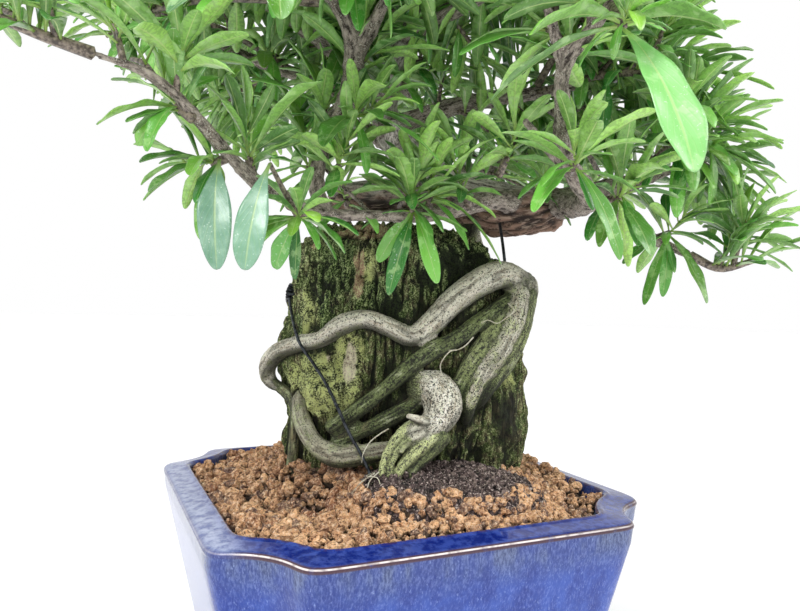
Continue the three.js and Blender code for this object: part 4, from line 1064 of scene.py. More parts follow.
def scattered(pitch, seed):
    """Places over the inside of the pot: a honeycomb grid, each point moved by a random part of its pitch."""
    draw = np.random.default_rng(seed)
    reach = POT_WIDTH / 2 - RIM_WIDTH
    across = np.arange(-reach, reach, pitch)
    ahead = np.arange(-reach, reach, pitch * 0.866)
    x, y = np.meshgrid(across, ahead, indexing="ij")
    x = x + 0.5 * pitch * (np.arange(len(ahead)) % 2)
    return np.stack([x.ravel(), y.ravel()], -1) + draw.uniform(-GRAIN_JITTER, GRAIN_JITTER, (x.size, 2)) * pitch


def over_soil(places, margin, off_muck, near):
    """Those places, in the axes of the plant, that lie inside the pot and clear of the rock and the muck.
    At the front and right edges of the muck the grains creep further over it."""
    half = POT_WIDTH / 2
    corner = np.hypot(*(np.abs(places) - half).T)
    inside = (np.abs(places) < half - RIM_WIDTH - margin).all(axis=1) & (corner > SCOOP_RADIUS + RIM_WIDTH + margin)
    points = in_plant(at_height(places, 0.0))
    x, y, _ = points.T
    left, right, front, back = rock_sides(soil_height(x, y))
    beside = np.abs((2 * x - left - right) / (right - left - 2 * INTO_ROCK)) ** ROCK_SQUARENESS
    before = np.abs((2 * y - front - back) / (back - front - 2 * INTO_ROCK)) ** ROCK_SQUARENESS
    ahead = 0.1 * ease(-y, 36, 44) + 0.12 * ease(x, 36, 48)
    out = np.min([np.hypot((x - cx) / rx, (y - cy) / ry) for cx, cy, _, rx, ry, _ in MOUNDS], axis=0)
    out = out + 0.1 * noise(points, 5.0, 14)
    return points[inside & (beside + before > 1) & (out > off_muck - ahead) & (out < near)]


def finer(points):
    """Share by which grains are smaller towards the front right, where the soil is finer."""
    return 1 - 0.32 * ease(points[:, 0] - points[:, 1], 30, 75)


def add_grains(surface, pitch, sizes, shape, sink, seed, margin, off_muck, near):
    """Scatters one layer of grains over the soil, each with a colour tone of its own. Depth under the
    surface is kept too, for the painted shade in the gaps between grains."""
    draw = np.random.default_rng(seed + 1000)
    points = over_soil(scattered(pitch, seed), margin, off_muck, near)
    radii = draw.uniform(*sizes, len(points)) * finer(points)
    ground = np.maximum(soil_height(*points.T[:2]), muck_height(*points.T[:2]) - 0.5)
    points[:, 2] = ground - sink + draw.uniform(-0.8, 0.8, len(points))
    rings, poles = pebbles(points, radii, *shape, seed, 0.1)
    yellow = ease(points[:, 0] - points[:, 1], 20, 70) * 0.3
    tone = np.clip(draw.beta(1.0, 1.0, len(points)) + yellow, 0, 1)
    grey = draw.uniform(0, 1, len(points)) < 0.18
    # Painted shade: the lower a point of a grain lies under the ground, the darker it is painted.
    deep = 1 - ease(rings[..., 2] - ground[:, None, None], -2.6, 1.0)
    surface.add(rings, poles, tone=tone[:, None, None], grey=grey[:, None, None], deep=deep)


def baked_clay(settings):
    """Porous baked clay: each grain its own ochre or brown, some purplish grey, paler on the high points
    of its bumps as a painted highlight, darker in its pits as painted shade, and painted nearly black
    as shade deep between the grains."""
    board = Finish("akadama", Roughness=0.95)
    place = board.place()
    patches = board.noise(place, 1.9 * MM, 4, 0.7)
    crumbs = board.noise(place, 1.0 * MM, 4, 0.75)
    body = board.layers(
        settings.grain_dark, (board.value("tone"), settings.grain_light),
        # Pale on the high points of the bumps is a painted highlight, and dark in their low pits is painted shade.
        (board.value("grey") * 0.8, srgb(104, 86, 84)), (patches.step(0.48, 0.62) * 0.55, srgb(236, 178, 128)),
        (crumbs.step(0.53, 0.61) * 0.8, srgb(255, 226, 194)),
        ((1 - patches.step(0.34, 0.5)) * 0.6, srgb(104, 64, 44)),
        ((1 - crumbs.step(0.38, 0.48)) * 0.85, srgb(44, 27, 19)),
        # Painted shade, nearly black, deep between the grains.
        (board.value("deep").step(0.0, 0.75) * 0.92, srgb(20, 12, 8)))
    return board.finish(Base_Color=body, Normal=board.bump(crumbs + 0.7 * patches, 1.0, 1.0 * MM))


def peat(settings):
    """Dark crumbs of peat, brown to nearly black, with many pale specks."""
    board = Finish("muck", Roughness=0.9)
    place = board.place()
    tone = board.noise(place, 1.9 * MM, 4, 0.75)
    fine = board.noise(place, 0.8 * MM, 3, 0.7)
    body = board.layers(
        srgb(16, 11, 10), (tone.step(0.38, 0.6), settings.muck),
        (board.value("tone").step(0.1, 0.8) * 0.8, srgb(158, 138, 130)),
        ((1 - fine.step(0.36, 0.5)) * 0.85, srgb(8, 6, 6)),
        ((fine * 0.8 + tone * 0.2).step(0.55, 0.62) * 0.85, srgb(226, 210, 200)))
    return board.finish(Base_Color=body, Normal=board.bump(tone + fine, 1.0, 1.0 * MM))


def muck_mound(place):
    """A peaty mound: rings of an oval dome, moved up and down by fine lumps, closed underneath."""
    centre, radii = place[:3], place[3:]
    rise = np.linspace(-0.25, 0.97, 54) * np.pi / 2
    points = centre + radii * (np.cos(rise)[:, None, None] * circle(150) + np.sin(rise)[:, None, None] * UP)
    lump = 0.9 * layered(points, 5.0, 3, 2) + 0.6 * noise(points, 1.6, 8)
    points = points + lump[..., None] * unit(points - centre)
    poles = np.stack([centre - UP * 6, centre + UP * (radii[2] + 0.3)])
    return points[None], poles[None]


ROOTLETS = [
    [[40.8, -22, 67.5], [42.6, -24, 65], [39.6, -25.5, 62.4], [36.5, -27, 60.6], [33.2, -28, 61.6], [31, -28, 60.6]],
    [[22.7, -33, 51.7], [20.2, -36, 51.3], [18.2, -36, 49], [17.2, -35.5, 46.6], [17.8, -35, 43.6]],
    [[28, -33, 56], [25, -34.5, 53], [22.7, -33, 51.7], [20, -33, 51.5]],
    [[0.9, -39, 26.2], [-2, -40.5, 24.6], [-5, -42, 22.2], [-7, -43, 18.4], [-7.2, -43, 16]],
    [[-1, -43.5, 14], [-4.5, -46, 11], [-5, -48, 7.5], [-3.4, -49, 6]],
    [[-3, -43.5, 13], [-7.5, -45, 10], [-10, -46, 7]],
    [[-4, -40, 12], [-5.5, -44, 12], [-2, -46.5, 12.2], [-1, -47.5, 10]],
]


def add_rootlets(surface, low, high, count, seed, radius=0.16):
    """Hair-thin roots strewn over the muck: each starts at a random place and wanders by random turns."""
    draw = np.random.default_rng(seed)
    for _ in range(count):
        place = draw.uniform(low, high)
        way = unit(np.array([draw.normal(), draw.normal(), 0.1]))
        knots = []
        for _ in range(5):
            ground = max(soil_height(place[0], place[1]), muck_height(place[0], place[1])) + draw.uniform(0.1, 1.1)
            knots.append([place[0], place[1], ground, radius])
            way = unit(way + 0.8 * draw.normal(size=3) * [1, 1, 0])
            place = place + way * draw.uniform(1.0, 2.4)
        rings, poles = Limb(knots, 0.8).tube(4)
        surface.add(rings, poles, tone=draw.uniform(0.6, 1.6))


class BONSAI_OT_soil(bpy.types.Operator):
    """Build the grains of baked clay and the peaty mound"""

    bl_idname = "bonsai.soil"
    bl_label = "Soil and muck"

    def execute(self, context):
        settings = context.scene.bonsai_soil
        pitch = settings.grain_pitch / MM
        soil = Surface()
        # The soil bed is painted at full depth: nearly black painted shade under the grains.
        soil.add(*soil_bed(), tone=0.0, grey=0.6, deep=1.0)
        for share, *layer in GRAIN_LAYERS:
            add_grains(soil, share * pitch, *layer)
        grains = soil.mesh("clay_grains")
        grains.shade_flat()
        put(grains, baked_clay(settings), "akadama", "soil")
        muck = Surface()
        draw = np.random.default_rng(7)
        for place, count in zip(MOUNDS, CRUMBS_PER_MOUND):
            muck.add(*muck_mound(place), tone=0.1)
            spots = place[:2] + place[3:5] * 1.12 * draw.uniform(-1, 1, (count, 2))
            spots = spots[np.hypot(*((spots - place[:2]) / place[3:5]).T) < 1.12 - 0.32 * ease(-spots[:, 1], 36, 44)]
            ground = np.maximum(muck_height(*spots.T), soil_height(*spots.T) - 0.4)
            centres = np.concatenate([spots, (ground + draw.uniform(-0.3, 0.9, len(spots)))[:, None]], -1)
            rings, poles = pebbles(centres, draw.uniform(0.35, 1.4, len(spots)), 2, 5, 8, 0.12)
            muck.add(rings, poles, tone=draw.beta(1.0, 2.2, len(spots))[:, None, None])
        add_rootlets(muck, [30, -36, 0], [52, -22, 0], 60, 11)
        add_rootlets(muck, [0, -44, 0], [46, -28, 0], 60, 12, 0.13)
        crumbs = muck.mesh("peat_crumbs")
        crumbs.shade_flat()
        put(crumbs, peat(settings), "muck", "muck")
        return {"FINISHED"}


# Rock


def rock_skin(fibre):
    """The rock: a squarish oval at each height, closed over its top by shrinking rings, with more points
    towards the front, moved along its own normals by upright strata, lumps and fine grain, with dents
    and swellings at chosen places. Where bright moss covers it the strata are hardly seen."""
    columns, rows, cap_rows = 420, 184, 26
    base = ROCK_LEVELS[0, 0]
    angle = turns(columns)
    angle = angle - 0.4 * np.cos(angle)
    heights = np.linspace(base, ROCK_LEVELS[-1, 0], rows)
    near = np.linspace(-3, 3, 7)
    sides = [np.mean([side[k] for side in (rock_sides(heights + d) for d in near)], axis=0) for k in range(4)]
    left, right, front, back = (side[:, None] for side in sides)
    z = heights[:, None]
    ridge = (np.sin(9 * angle + 0.06 * z) + 0.7 * np.sin(16 * angle - 0.04 * z + 1.3)
             + 0.8 * np.sin(0.21 * z + 3 * angle))
    c, s = np.cos(angle), np.sin(angle)
    oval = (np.abs(c) ** ROCK_SQUARENESS + np.abs(s) ** ROCK_SQUARENESS) ** (-1 / ROCK_SQUARENESS)
    x = (left + right) / 2 + c * (oval * (right - left) / 2 + ROCK_RIDGE * ridge)
    y = (front + back) / 2 + s * (oval * (back - front) / 2 + ROCK_RIDGE * ridge)
    points = np.stack([x, y, np.broadcast_to(z, x.shape)], -1)
    middle = points[-1].mean(axis=0)
    shares = np.linspace(1, 0.02, cap_rows + 1)[1:, None, None]
    cap = middle + shares * (points[-1] - middle)
    cap[..., 2] += 1.2 * (1 - shares[..., 0] ** 2)
    points = np.concatenate([points, cap])
    around = np.roll(points, -1, axis=1) - np.roll(points, 1, axis=1)
    normal = unit(np.cross(around, np.gradient(points, axis=0)))
    strata = np.abs(layered(points, [3.2, 3.2, 22.0], 3, 3))
    lumps = layered(points, [10, 10, 14], 4, 9)
    grain = layered(points, [1.8, 1.8, 4.0], 2, 4)
    moss = patches_of(points, BRIGHT_MOSS)
    strata = strata + (0.4 - strata) * 0.8 * moss
    lift = 1.9 * lumps - fibre * (1 - 2 * strata) + 0.6 * grain
    lift = lift + 0.9 * moss * layered(points, 3.0, 2, 12)
    for x, y, z, wide, tall, height in ROCK_DENTS:
        off = (points - [x, y, z]) / [wide, 1.6 * wide, tall]
        lift = lift + height * np.exp(-np.sum(off ** 2, axis=-1))
    lift *= ease(points[..., 2], base, base + 8)
    points = points + lift[..., None] * normal
    poles = np.stack([[middle[0], middle[1], base], points[-1].mean(axis=0)])
    return points, poles, strata, lift


def patches_of(points, spots):
    """Share of each point inside soft oval spots of x, y, z, width and height."""
    share = np.zeros(points.shape[:-1])
    for x, y, z, wide, tall in spots:
        off = (points - [x, y, z]) / [wide, 2 * wide, tall]
        share = np.maximum(share, np.exp(-np.sum(off ** 2, axis=-1)))
    return share


# Soft oval spots on the rock: x, y, z, width and height
# SHADED holds spots of painted shade.
SHADED = [[-4, -24, 84, 5, 9], [44, -20, 28, 9, 17], [6, -26, 30, 14, 9], [12, -26, 64, 13, 9]]
DARK_MOSS = [
    [-19, -22, 80, 7, 12], [-27, -22, 58, 8, 12], [22, -20, 80, 14, 10], [38, -14, 86, 10, 8],
    [-4, -24, 66, 8, 8],
]
BRIGHT_MOSS = [
    [-24, -26, 37, 12, 10], [-14, -27, 46, 5, 9], [-30, -22, 62, 5, 8], [43, -21, 44, 3, 6],
    [-8, -24, 80, 3, 6],
]
BARE_STONE = [
    [-11, -23, 79, 3, 13], [-28, -18, 88, 4, 4], [-13, -27, 47, 3.2, 9], [-10, -14, 92, 12, 4],
    [-20, -25, 50, 2, 6],
]


def stone(settings):
    """Rock with upright fibres: brown stone with black between its fibres, dark moss, bright moss and
    pale stone, each patch broken up by noise. Its strata grooves and hollows, spots in shade and the
    stone beside the roots are painted nearly black as painted shade; pale tips of fibres and moss
    outside that shade are partly a painted highlight."""
    board = Finish("stone", Roughness=0.95)
    place = board.place()
    fibres = board.noise(board.stretched(place, (1, 1, 0.17)), 1.1 * MM, 5, 0.75)
    broken = board.noise(place, 3.4 * MM, 5, 0.72)
    fine = board.noise(place, 0.6 * MM, 4, 0.75)
    mixed = fine * 0.6 + fibres * 0.4
    tufts = board.mix(mixed.step(0.4, 0.6), srgb(24, 34, 14), srgb(112, 136, 66))
    dark = (board.value("moss") + broken * 0.9 + fibres * 0.35).step(0.8, 1.02)
    dark_moss = board.mix(mixed.step(0.44, 0.56), srgb(8, 15, 5), settings.moss)
    bright = (board.value("lime") + broken * 0.9 + fine * 0.6).step(0.92, 1.16)
    bright_moss = board.mix((fine * 0.5 + broken * 0.5).step(0.45, 0.54), srgb(24, 32, 10), settings.lime)
    bare = (board.value("bare") + broken * 0.6 + fibres * 0.5).step(0.95, 1.15)
    high = board.split(place)[2].step((POT_HEIGHT + 56) * MM, (POT_HEIGHT + 68) * MM)
    chalk = board.mix(high, srgb(238, 228, 200), srgb(194, 160, 132))
    # Painted shade: nearly black in the strata grooves and hollows, in the shaded spots and beside the roots.
    grooves = board.value("groove").step(0.2, 0.85)
    body = board.layers(
        srgb(14, 14, 8), (fibres.step(0.4, 0.6), settings.stone), (broken.step(0.42, 0.54) * 0.85, tufts),
        (dark * 0.9, dark_moss), (bright * 0.95, bright_moss),
        (bare * 0.95, board.mix(mixed.step(0.36, 0.54), srgb(112, 88, 64), chalk)),
        (grooves * 0.85, srgb(8, 9, 5)),
        # Pale tips of the fibres and moss, kept out of the painted shade: partly their own colour, partly a painted
        # highlight.
        ((mixed + high * 0.02).step(0.53, 0.6) * (1 - grooves) * 0.9, srgb(210, 220, 160)))
    rough = fibres + 0.7 * fine + 0.6 * broken
    return board.finish(Base_Color=body, Normal=board.bump(rough, 1.0, 1.0 * MM))


class BONSAI_OT_rock(bpy.types.Operator):
    """Build the rock with its strata and moss"""

    bl_idname = "bonsai.rock"
    bl_label = "Rock"

    def execute(self, context):
        settings = context.scene.bonsai_rock
        points, poles, strata, lift = rock_skin(settings.fibre_depth / MM)
        # Painted shade: darker beside the roots, in the shaded spots, in the deep strata grooves and in the hollows
        # of the skin.
        _, gaps = beside_limbs(points.reshape(-1, 3), root_limbs())
        shade = 1 - ease(gaps[:, 0].reshape(points.shape[:2]), -0.5, 2.6)
        shade = shade + 0.55 * patches_of(points, SHADED)
        groove = np.clip(1 - 2.4 * strata, 0, 1) * 0.6 + ease(-lift, 1.0, 3.6) + shade
        surface = Surface()
        surface.add(points[None], poles[None], groove=groove[None], moss=patches_of(points, DARK_MOSS)[None],
                    lime=patches_of(points, BRIGHT_MOSS)[None], bare=patches_of(points, BARE_STONE)[None])
        put(surface.mesh("mossy_rock"), stone(settings), "stone", "rock")
        return {"FINISHED"}


# Wood


STATION_STEP = 1.5
NODE_PITCH = 9.5
TOES = (6, 7, 8, 9, 10, 11)
TOE_CELL = 0.45
STOUT_ROOTS = [k for k in range(len(ROOTS)) if k not in TOES]
# Rows of the trunk and boughs that have old bark
STUMPS = (0, 5, 6, 7, 8)


def root_limbs():
    return [Limb(knots, STATION_STEP) for knots, *_ in ROOTS]


def slimmer(knots):
    """Boughs nearest the front are drawn a little thinner than their solids."""
    knots = np.array(knots, float)
    knots[:, 3] *= 1 - 0.2 * ease(-knots[:, 1], 34, 46) - 0.2 * ease(-knots[:, 1], 60, 85)
    return knots


def joined_skin(limbs, cell, name):
    """One skin over many overlapping tubes, by a grid of cells, then smoothed."""
    surface = Surface()
    for limb in limbs:
        surface.add(*limb.tube(14))
    mesh = surface.mesh(name)
    rough = new_object(name, mesh)
    remesh = rough.modifiers.new("join", "REMESH")
    remesh.mode = "VOXEL"
    remesh.voxel_size = cell
    smooth = rough.modifiers.new("smooth", "SMOOTH")
    smooth.iterations = 4
    smooth.factor = 0.5
    seen = rough.evaluated_get(bpy.context.evaluated_depsgraph_get())
    skin = bpy.data.meshes.new_from_object(seen)
    bpy.data.objects.remove(rough)
    bpy.data.meshes.remove(mesh)
    skin.name = name
    return skin


def read_points(mesh, field="vertices", key="co"):
    """The points, or the normals at the points, of a mesh."""
    values = np.empty(3 * len(mesh.vertices), np.float32)
    getattr(mesh, field).foreach_get(key, values)
    return values.reshape(-1, 3).astype(float)


def beside_limbs(points, limbs):
    """For each point, the limb station whose surface is nearest, and how far off the surfaces of the
    nearest limb and of the next one are."""
    centres = np.concatenate([limb.centre for limb in limbs])
    radii = np.concatenate([limb.radius for limb in limbs])
    starts = np.cumsum([0] + [len(limb.centre) for limb in limbs[:-1]])
    best = np.empty(len(points), int)
    gaps = np.empty((len(points), 2))
    size = 4096
    for start in range(0, len(points), size):
        block = points[start:start + size]
        square = (block ** 2).sum(1)[:, None] - 2 * block @ centres.T + (centres ** 2).sum(1)
        away = np.sqrt(np.maximum(square, 0)) - radii
        best[start:start + size] = np.argmin(away, axis=1)
        gaps[start:start + size] = np.partition(np.minimum.reduceat(away, starts, axis=1), 1, axis=1)[:, :2]
    return best, gaps


def grain_of(points, limbs, best):
    """Place in the grain of the wood: across the limb as the offset from its middle in the limb's own
    turning frame, and along it as the distance walked from its foot."""
    gather = {key: np.concatenate([getattr(limb, key) for limb in limbs])[best]
              for key in ("centre", "normal", "side", "along", "radius", "length")}
    off = points - gather["centre"]
    across = [np.sum(off * gather[key], axis=1) for key in ("normal", "side")]
    walked = gather["length"] + np.sum(off * gather["along"], axis=1)
    which = np.repeat(np.arange(len(limbs)), [len(limb.centre) for limb in limbs])[best]
    return np.stack([across[0], across[1], walked + 37.0 * which], -1), gather["radius"], which


def wooden_piece(limbs, looks, cell, name, shape):
    """Joined limbs whose skin is moved along its normals by a shape function of the grain. Each look is
    a row of numbers for a limb, stored over the skin by name."""
    skin = joined_skin(limbs, cell, name)
    points = from_frame(read_points(skin))
    normals = read_points(skin, "vertex_normals", "vector")
    best, gaps = beside_limbs(points, limbs)
    grain, radius, which = grain_of(points, limbs, best)
    values = {key: np.asarray(rows, float)[which] for key, rows in looks.items()}
    lift, extra = shape(points, grain, radius, values)
    moved = in_frame(points) + MM * lift[:, None] * normals
    skin.vertices.foreach_set("co", moved.astype(np.float32).ravel())
    skin.update()
    # Painted shade: how close the next limb comes, for creases painted dark, and how far the skin faces down, for
    # undersides painted dark.
    extra["crease_shade"] = 1 - ease(gaps[:, 1], 0.0, 1.4)
    extra["under"] = ease(-normals[:, 2], 0.0, 0.8)
    for key, value in {**values, **extra, "grain": grain * MM}.items():
        set_value(skin, key, value)
    skin.shade_smooth()
    return skin


def root_shape(points, grain, radius, values):
    """Roots: swellings along the limb, long shallow folds between its strands, and fine pitting. The
    lower ends of the strands at the right and the knee's upper left are mossy, and the toes' upper ends
    bare."""
    stout = np.minimum(1, radius / 3.5)
    swell = noise(grain, [14, 14, 9], 3) * 0.4 * stout
    folds = np.abs(layered(grain, [3.4, 3.4, 24], 2, 6))
    pits = layered(points, 1.3, 2, 2) * 0.15 * (0.3 + values["speck"])
    mossy = ease(46 - points[:, 2], 0, 9) * (points[:, 0] > 21) * (points[:, 1] > -30.5)
    mossy = np.maximum(mossy, patches_of(points, [[9, -27, 39, 4.5, 5]]))
    bare = patches_of(points, [[11, -40, 26.5, 5, 3.5]])
    looks = {"pale": values["pale"] * (1 - mossy), "moss": np.maximum(values["moss"], mossy) * (1 - bare)}
    return swell + stout * (0.5 * folds - 0.22) + pits, {"fold": folds, **looks}


def bark_shape(points, grain, radius, values):
    """Boughs: old bark cracks along the thick log, and thin boughs swell a little at each node."""
    ridges = np.abs(layered(grain, [3.4, 3.4, 13.0], 3, 4))
    plates = layered(grain, [1.6, 1.6, 5.0], 2, 8)
    below = ease(108 - points[:, 2], -6, 5)
    rough = values["old"] * values["depth"] * (0.35 + 0.65 * below) * (1.9 * ridges - 0.75 + 0.35 * plates)
    young = 1 - values["old"]
    place = grain[:, 2] / NODE_PITCH + 0.5 * noise(grain, [30, 30, 14], 5)
    knots = np.maximum(0, np.cos(2 * np.pi * place)) ** 8
    knobs = noise(grain, [3.0, 3.0, 4.0], 9)
    fine = noise(grain, [1.1, 1.1, 2.2], 2)
    swell = young * np.minimum(1, radius / 2.4) * (0.35 * knots + 0.3 * knobs + 0.16 * fine - 0.1)
    return rough + swell, {"fold": ridges, "below": below}


def bark(settings):
    """Wood of three kinds, blended by the looks of each limb: pale roots with dark specks and algae,
    brown cracked bark, and grey-brown boughs. On the roots the creases between limbs, the undersides
    and the bottoms of the folds are painted dark as painted shade, and pale streaks on the upper sides
    are a painted highlight."""
    board = Finish("bark", Roughness=0.8)
    grain = board.vector("grain")
    place = board.place()
    long = board.noise(board.stretched(grain, (1, 1, 0.16)), 1.0 * MM, 4, 0.7)
    cracks = board.noise(board.stretched(grain, (1, 1, 0.5)), 1.3 * MM, 5, 0.75)
    patch = board.noise(place, 4.5 * MM, 4, 0.6)
    fine = board.noise(place, 0.8 * MM, 3, 0.65)
    tiny = board.noise(place, 0.36 * MM, 2, 0.6)
    pale, moss, speck, under = (board.value(key) for key in ("pale", "moss", "speck", "under"))
    old, below, fold = (board.value(key) for key in ("old", "below", "fold"))
    skin = board.layers(
        srgb(146, 134, 112), (long.step(0.3, 0.6), settings.pale), (patch.step(0.5, 0.64) * 0.4, srgb(204, 178, 154)))
    dull = board.mix(long.step(0.36, 0.6), srgb(46, 42, 28), srgb(134, 126, 92))
    lichen = (patch * 0.55 + tiny * 0.45).step(0.5, 0.57) * speck * pale
    green = board.mix(pale, settings.green, srgb(198, 208, 140))
    algae = board.mix((fine * 0.6 + long * 0.4 + pale * 0.04).step(0.44, 0.56), srgb(14, 22, 9), green)
    dots = (fine * 0.5 + tiny * 0.5 + speck * 0.05).step(0.55, 0.6) * speck.step(0.0, 0.6)
    # On the roots: pale streaks on the upper sides are a painted highlight; the undersides, the bottoms of the folds
    # and the creases between limbs are painted dark as painted shade.
    root = board.layers(
        dull, ((pale + patch * 0.7).step(0.5, 1.1), skin), (lichen * 0.85, srgb(244, 244, 236)),
        ((moss + patch * 1.3 + long * 0.3 + under * 0.3).step(1.05, 1.4) * 0.9, algae),
        ((patch * 0.4 + long * 0.6).step(0.54, 0.62) * (1 - under) * 0.5, srgb(196, 200, 168)),
        (under * 0.85, srgb(24, 25, 15)), ((1 - fold.step(0.02, 0.13)) * 0.5, srgb(28, 28, 16)),
        (dots * 0.95, srgb(16, 15, 11)), (board.value("crease_shade") * 0.55, srgb(22, 30, 10)))
    young = board.layers(
        srgb(58, 48, 42), ((cracks * 0.7 + long * 0.3).step(0.38, 0.62), srgb(176, 164, 154)),
        (patch.step(0.52, 0.68) * 0.5, srgb(108, 84, 68)), ((1 - cracks.step(0.34, 0.44)) * 0.8, srgb(34, 26, 22)),
        ((patch * 0.5 + tiny * 0.6).step(0.6, 0.68) * 0.7, srgb(206, 202, 192)))
    cracked = board.layers(
        srgb(36, 24, 18), (fold.step(0.06, 0.5), settings.bark), (long.step(0.5, 0.64) * 0.6, srgb(178, 156, 140)),
        ((1 - cracks.step(0.38, 0.48)) * 0.8, srgb(40, 28, 22)))
    grey = board.mix((long * 0.5 + cracks * 0.5).step(0.38, 0.58), srgb(60, 54, 48), srgb(204, 198, 188))
    wood = board.mix(old, young, board.mix(below, grey, cracked))
    colour = board.mix(board.value("root"), wood, root)
    bumps = long + 0.5 * fine + 0.35 * tiny
    return board.finish(Base_Color=colour, Normal=board.bump(bumps, 0.9, 0.5 * MM))


class BONSAI_OT_wood(bpy.types.Operator):
    """Build the roots over the rock, the trunk and the boughs"""

    bl_idname = "bonsai.wood"
    bl_label = "Roots, trunk and boughs"

    def execute(self, context):
        settings = context.scene.bonsai_wood
        material = bark(settings)
        roots = root_limbs()
        pale, moss, speck = (list(row) for row in zip(*(looks for _, *looks in ROOTS)))
        looks = {"pale": pale, "moss": moss, "speck": speck, "root": [1.0] * len(roots)}
        cell = settings.cell
        for name, picked, size in (("roots_over_rock", STOUT_ROOTS, cell), ("root_toes", TOES, TOE_CELL * cell)):
            picked_looks = {key: [row[k] for k in picked] for key, row in looks.items()}
            skin = wooden_piece([roots[k] for k in picked], picked_looks, size, name, root_shape)
            put(skin, material, "bark", "wood")
        boughs = [Limb(slimmer(knots), STATION_STEP) for knots in [TRUNK, *BOUGHS]]
        old = [1.0 if k in STUMPS else 0.0 for k in range(len(boughs))]
        looks = {"old": old, "depth": [settings.bark_depth / MM] * len(boughs), "root": [0.0] * len(boughs)}
        put(wooden_piece(boughs, looks, cell, "trunk_and_boughs", bark_shape), material, "bark", "wood")
        fine = Surface()
        for knots in ROOTLETS:
            limb = even_limb(knots, ROOTLET_RADIUS, WIRE_STEP)
            taper = ROOTLET_RADIUS * (1 - 0.55 * np.linspace(0, 1, len(limb.centre)))
            rings, poles = limb.tube(6, taper)
            fine.add(rings, poles, pale=0.9, moss=0.2, speck=0.1, root=1.0, fold=0.5, grain=rings * MM)
        put(fine.mesh("rootlets"), material, "bark")
        return {"FINISHED"}


# Wires


def wire_material():
    """Dark annealed wire, worn a little brighter in places."""
    board = Finish("wire", Metallic=0.75)
    place = board.place()
    tone = board.noise(place, 1.5 * MM, 3)
    colour = board.mix(tone.step(0.35, 0.7), srgb(24, 26, 30), srgb(78, 82, 88))
    return board.finish(Base_Color=colour, Roughness=0.35 + 0.25 * tone, Normal=board.bump(tone, 0.3, 0.1 * MM))


def coil_round(knots, radius, count, wire):
    """A helix wound round a stretch of wire: circles in the frame of each station, turned steadily."""
    limb = even_limb(knots, wire, 0.12)
    angle = np.linspace(0, 2 * np.pi * count, len(limb.centre))
    out = np.cos(angle)[:, None] * limb.normal + np.sin(angle)[:, None] * limb.side
    return even_limb(limb.centre + radius * out, wire, 0.3)


class BONSAI_OT_wires(bpy.types.Operator):
    """Build the tie wire with its twisted knot, and the wire that holds the bough"""

    bl_idname = "bonsai.wires"
    bl_label = "Wires"

    wire_radius: length_of("Wire radius", "Radius of the tie wire", 0.55, 0.1, 2)

    def execute(self, context):
        material = wire_material()
        radius = self.wire_radius / MM
        tie = Surface()
        for places in (TIE_WIRE, BACK_STRAND, KNOT_TAIL):
            tie.add(*even_limb(places, radius, WIRE_STEP).tube(10))
        for reach in (KNOT_REACH, -KNOT_REACH):
            tie.add(*coil_round(KNOT_CORE, reach, KNOT_TURNS, 0.85 * radius).tube(8))
        put(tie.mesh("tie_wire_twisted"), material, "wire", "tie_wire")
        bough = Surface()
        bough.add(*even_limb(BOUGH_WIRE, radius, WIRE_STEP).tube(10))
        put(bough.mesh("bough_wire_round"), material, "wire", "bough_wire")
        return {"FINISHED"}


# Leaves


def underside(x, y):
    """Lowest height of the foliage at a place, so that the front keeps its clear outline."""
    away = y - VIEW_POINT[1]
    sideways = (x - VIEW_POINT[0]) / away
    base = np.interp(sideways, UNDERSIDE[:, 0], UNDERSIDE[:, 1])
    near = ease(-y, 40, 75)
    return VIEW_POINT[2] + (base + (np.maximum(base, FRONT_UNDERSIDE) - base) * near) * away


def arch_of(arch):
    """The way a leaf bows: upwards, or towards the front where the arch is negative."""
    return [0, -0.15 * arch, arch] if arch > 0 else [0, arch, -0.35 * arch]


STATIONS = np.array([0.0, 0.1, 0.22, 0.38, 0.55, 0.7, 0.83, 0.93, 0.985])
FINE_STATIONS = np.concatenate([np.linspace(0, 0.9, 20), [0.925, 0.95, 0.97, 0.985, 0.995]])


